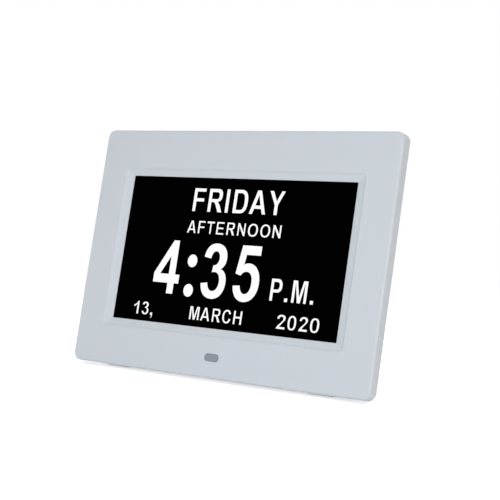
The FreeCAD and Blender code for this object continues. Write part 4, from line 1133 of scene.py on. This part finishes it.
@dataclass
class Keys(Assembly):
    """The six caps behind, each with its raised sign.

    dish sizes are of the cap's shallow top; reaches run from a sign's middle to its ends.
    """

    pitch: float = 14.0
    y: float = 50.5
    width: float = 9.0
    height: float = 5.4
    corner: float = 2.2
    top: float = 21.6
    bottom: float = 17.2
    flange: float = 0.9
    flange_back: float = 18.3
    flange_crease: float = 0.15
    shaft_crease: float = 0.1
    edge: float = 0.5
    edge_facets: int = 5
    corner_facets: int = 8
    dish_side: float = 1.3
    dish_end: float = 1.1
    dish_corner: float = 1.0
    dish_depth: float = 0.08
    sign_rise: float = 0.13
    sign_sunk: float = 0.11
    sign_thickness: float = 0.15
    sign_ease: float = 0.04
    arrow_radius: float = 1.2
    line_reach: float = 1.3
    line_gap: float = 0.85
    line_width: float = 0.38
    cross_reach: float = 0.9
    cross_width: float = 0.4

    def build(self) -> None:
        """Mould each cap and its sign."""
        middle = (len(KeyMark) - 1) / 2
        for number, mark in enumerate(KeyMark):
            x = self.pitch * (number - middle)
            self.build_cap(mark, x)
            self.build_sign(mark, x)

    def build_cap(self, mark: KeyMark, x: float) -> None:
        """Mould one cap.

        Args:
            mark: the sign on it.
            x: where it sits along the row.
        """
        face = self.top - self.sign_rise
        shaft = Ring(self.width, self.height, self.corner, face)
        flange = shaft.grown(self.flange, self.flange, self.corner, self.bottom)
        top = face - self.dish_depth
        rings = [
            flange,
            flange.at(self.flange_back, self.flange_crease),
            shaft.at(self.flange_back, self.shaft_crease),
            *quarter(shaft, self.edge, False, self.edge_facets),
            shaft.grown(-self.dish_side, -self.dish_end, self.dish_corner, top),
        ]
        shape = Shaper((x, self.y), self.corner_facets)
        shape.stack(softened(rings))
        piece = shape.done("cap_" + mark.value)
        self.hand_over(piece, Slot.CASING, ["button_" + mark.value], mark.body, CAP_GREY)

    def build_sign(self, mark: KeyMark, x: float) -> None:
        """Raise the sign on a cap, as seen from behind.

        Args:
            mark: which sign.
            x: the cap's place along the row.
        """
        shape = Shaper()
        depth = self.top - self.sign_sunk
        if mark in ARROW_TURNS:
            self._add_arrow(shape, Vector((x, self.y, -depth)), ARROW_TURNS[mark])
        elif mark is KeyMark.MENU:
            reach = Vector((self.line_reach, 0.0, 0.0))
            for step in (-1, 0, 1):
                middle = Vector((x, self.y + step * self.line_gap, -depth))
                self._add_bar(shape, middle, reach, self.line_width)
        else:
            middle = Vector((x, self.y, -depth))
            for slope in (-1, 1):
                reach = Vector((self.cross_reach, slope * self.cross_reach, 0.0))
                self._add_bar(shape, middle, reach, self.cross_width)
        piece = shape.done("sign_" + mark.value)
        self.hand_over(piece, Slot.BLACK_PLASTIC, (), mark.body, SIGN_GREY)

    def _add_arrow(self, shape: Shaper, middle: Vector, turn: float) -> None:
        """Add a triangular arrow, turned by this many degrees."""
        corner_first = 30.0
        place = (
            Matrix.Translation(middle)
            @ Matrix.Rotation(math.radians(turn), 4, "Z")
            @ Matrix.Diagonal((1.0, 1.0, self.sign_thickness, 1.0))
            @ Matrix.Rotation(math.radians(corner_first), 4, "Z")
        )
        bmesh.ops.create_cone(
            shape.mesh, cap_ends=True, segments=3, radius1=self.arrow_radius,
            radius2=self.arrow_radius, depth=1.0, matrix=place,
        )

    def _add_bar(self, shape: Shaper, middle: Vector, reach: Vector, width: float) -> None:
        """Add a bar of a sign, which reaches this far either side of its middle."""
        ends = middle - reach, middle + reach
        shape.bar(*ends, width, self.sign_thickness, self.sign_ease)


# Studio


@dataclass(frozen=True)
class Lamp:
    """One soft square lamp, aimed at the clock, in metres and watts."""

    name: str
    place: tuple[float, float, float]
    width: float
    power: float
    colour: Colour = (1.0, 1.0, 1.0)
    aim: tuple[float, float, float] = (0.0, 0.0, 0.07)

    def hang(self) -> None:
        """Put the lamp in the scene, unseen by the camera."""
        light = bpy.data.lights.new(self.name, "AREA")
        light.energy = self.power
        light.size = self.width
        light.color = self.colour
        lamp = linked(self.name, light)
        lamp.location = self.place
        towards = Vector(self.aim) - Vector(self.place)
        lamp.rotation_euler = towards.to_track_quat("-Z", "Y").to_euler()
        lamp.visible_camera = False


@dataclass
class Studio:
    """Plain pale floor, soft light and the camera.

    eye is where the camera is, in the casing's millimetres; its angles are in degrees.
    """

    eye: tuple[float, float, float] = (405.4, -71.7, 557.3)
    azimuth: float = 34.952
    pitch: float = 5.77
    lens: float = 89.09
    sensor: float = 36.0
    ambient: float = 0.335
    floor_size: float = 6.0
    floor_tone: float = 0.93
    floor_roughness: float = 0.9
    floor_specular: float = 0.1
    floor_lift: float = 0.52
    fade_from: float = 0.16
    fade_to: float = 0.42
    lamps: tuple[Lamp, ...] = (
        Lamp("key_lamp", (0.68, -0.88, 0.22), 0.42, 4.2),
        Lamp("low_lamp", (-0.02, -0.3, 0.03), 0.08, 0.125),
        Lamp("top_lamp", (0.1, -0.5, 1.75), 0.8, 6.5),
        Lamp("side_lamp", (1.6, 0.25, 0.4), 0.8, 1.9, (1.0, 0.86, 0.68)),
        Lamp("back_lamp", (-0.3, 1.8, 1.7), 1.4, 12.0),
        Lamp("rear_lamp", (-0.6, 1.1, 0.45), 0.6, 6.5),
    )

    def build(self) -> None:
        """Set up the floor, the world, the lamps and the camera."""
        self.build_floor()
        self.build_world()
        for lamp in self.lamps:
            lamp.hang()
        self.build_camera()

    def build_floor(self) -> None:
        """Lay the floor, which keeps the shadow near the clock and fades to plain white."""
        mesh = bmesh.new()
        bmesh.ops.create_grid(mesh, x_segments=2, y_segments=2, size=self.floor_size)
        floor = shown(mesh, "floor")
        floor.data.materials.append(self.floor_surface())

    def floor_surface(self) -> bpy.types.Material:
        """A pale surface that the rays of a background see lifted, and white from afar.

        Returns:
            The material.
        """
        surface = bpy.data.materials.new("pale_floor")
        surface.use_nodes = True
        nodes = surface.node_tree.nodes
        wiring = Wiring(surface.node_tree)
        plain = {
            "Base Color": (*(self.floor_tone,) * 3, 1.0),
            "Roughness": self.floor_roughness,
            "Specular IOR Level": self.floor_specular,
        }
        shader = nodes["Principled BSDF"]
        wiring.feed(shader, plain)
        seen = wiring.background_rays()
        lift = wiring.add("Math", {0: seen, 1: self.floor_lift}, operation="MULTIPLY")
        glow = wiring.add("Emission", {"Strength": lift["Value"]})
        total = wiring.add("AddShader", {0: shader.outputs["BSDF"], 1: glow["Emission"]})
        place = wiring.add("TexCoord")["Object"]
        reach = wiring.add("VectorMath", {0: place}, operation="LENGTH")["Value"]
        span = {"Value": reach, "From Min": self.fade_from, "From Max": self.fade_to}
        fade = wiring.add("MapRange", span, interpolation_type="SMOOTHSTEP")["Result"]
        share = wiring.add("Math", {0: fade, 1: seen}, operation="MULTIPLY")["Value"]
        white = wiring.add("Emission")["Emission"]
        blend = wiring.add("MixShader", {"Fac": share, 1: total["Shader"], 2: white})
        wiring.feed(nodes["Material Output"], {"Surface": blend["Shader"]})
        return surface

    def build_world(self) -> None:
        """Light softly from all round, and show white behind the object."""
        world = bpy.data.worlds.new("studio")
        bpy.context.scene.world = world
        world.use_nodes = True
        nodes = world.node_tree.nodes
        wiring = Wiring(world.node_tree)
        soft = nodes["Background"]
        wiring.feed(soft, {"Color": WHITE, "Strength": self.ambient})
        white = wiring.add("Background", {"Color": WHITE, "Strength": 1.0})["Background"]
        parts = {"Fac": wiring.background_rays(), 1: soft.outputs["Background"], 2: white}
        blend = wiring.add("MixShader", parts)
        wiring.feed(nodes["World Output"], {"Surface": blend["Shader"]})

    def build_camera(self) -> None:
        """Put the camera where the photograph was taken from."""
        view = bpy.data.cameras.new("photo_view")
        view.lens = self.lens
        view.sensor_width = self.sensor
        camera = linked("photo_view", view)
        camera.location = casing_place() @ Vector(self.eye)
        turn = (math.radians(90.0 - self.pitch), 0.0, math.radians(self.azimuth))
        camera.rotation_euler = turn
        bpy.context.scene.camera = camera


def main() -> None:
    """Build the clock's sub-assemblies in order and report each piece."""
    bpy.context.scene.view_settings.view_transform = "Standard"
    window = InfraredWindow()
    front = FrontBezel(window=window), window, ScreenModule()
    for assembly in (Interior(), *front, RearCover(), Stand(), Keys()):
        assembly.build()
        for piece in assembly.made:
            LOG.info("%s: %d faces", piece.name, len(piece.data.polygons))
    Studio().build()


if __name__ == "__main__":
    main()
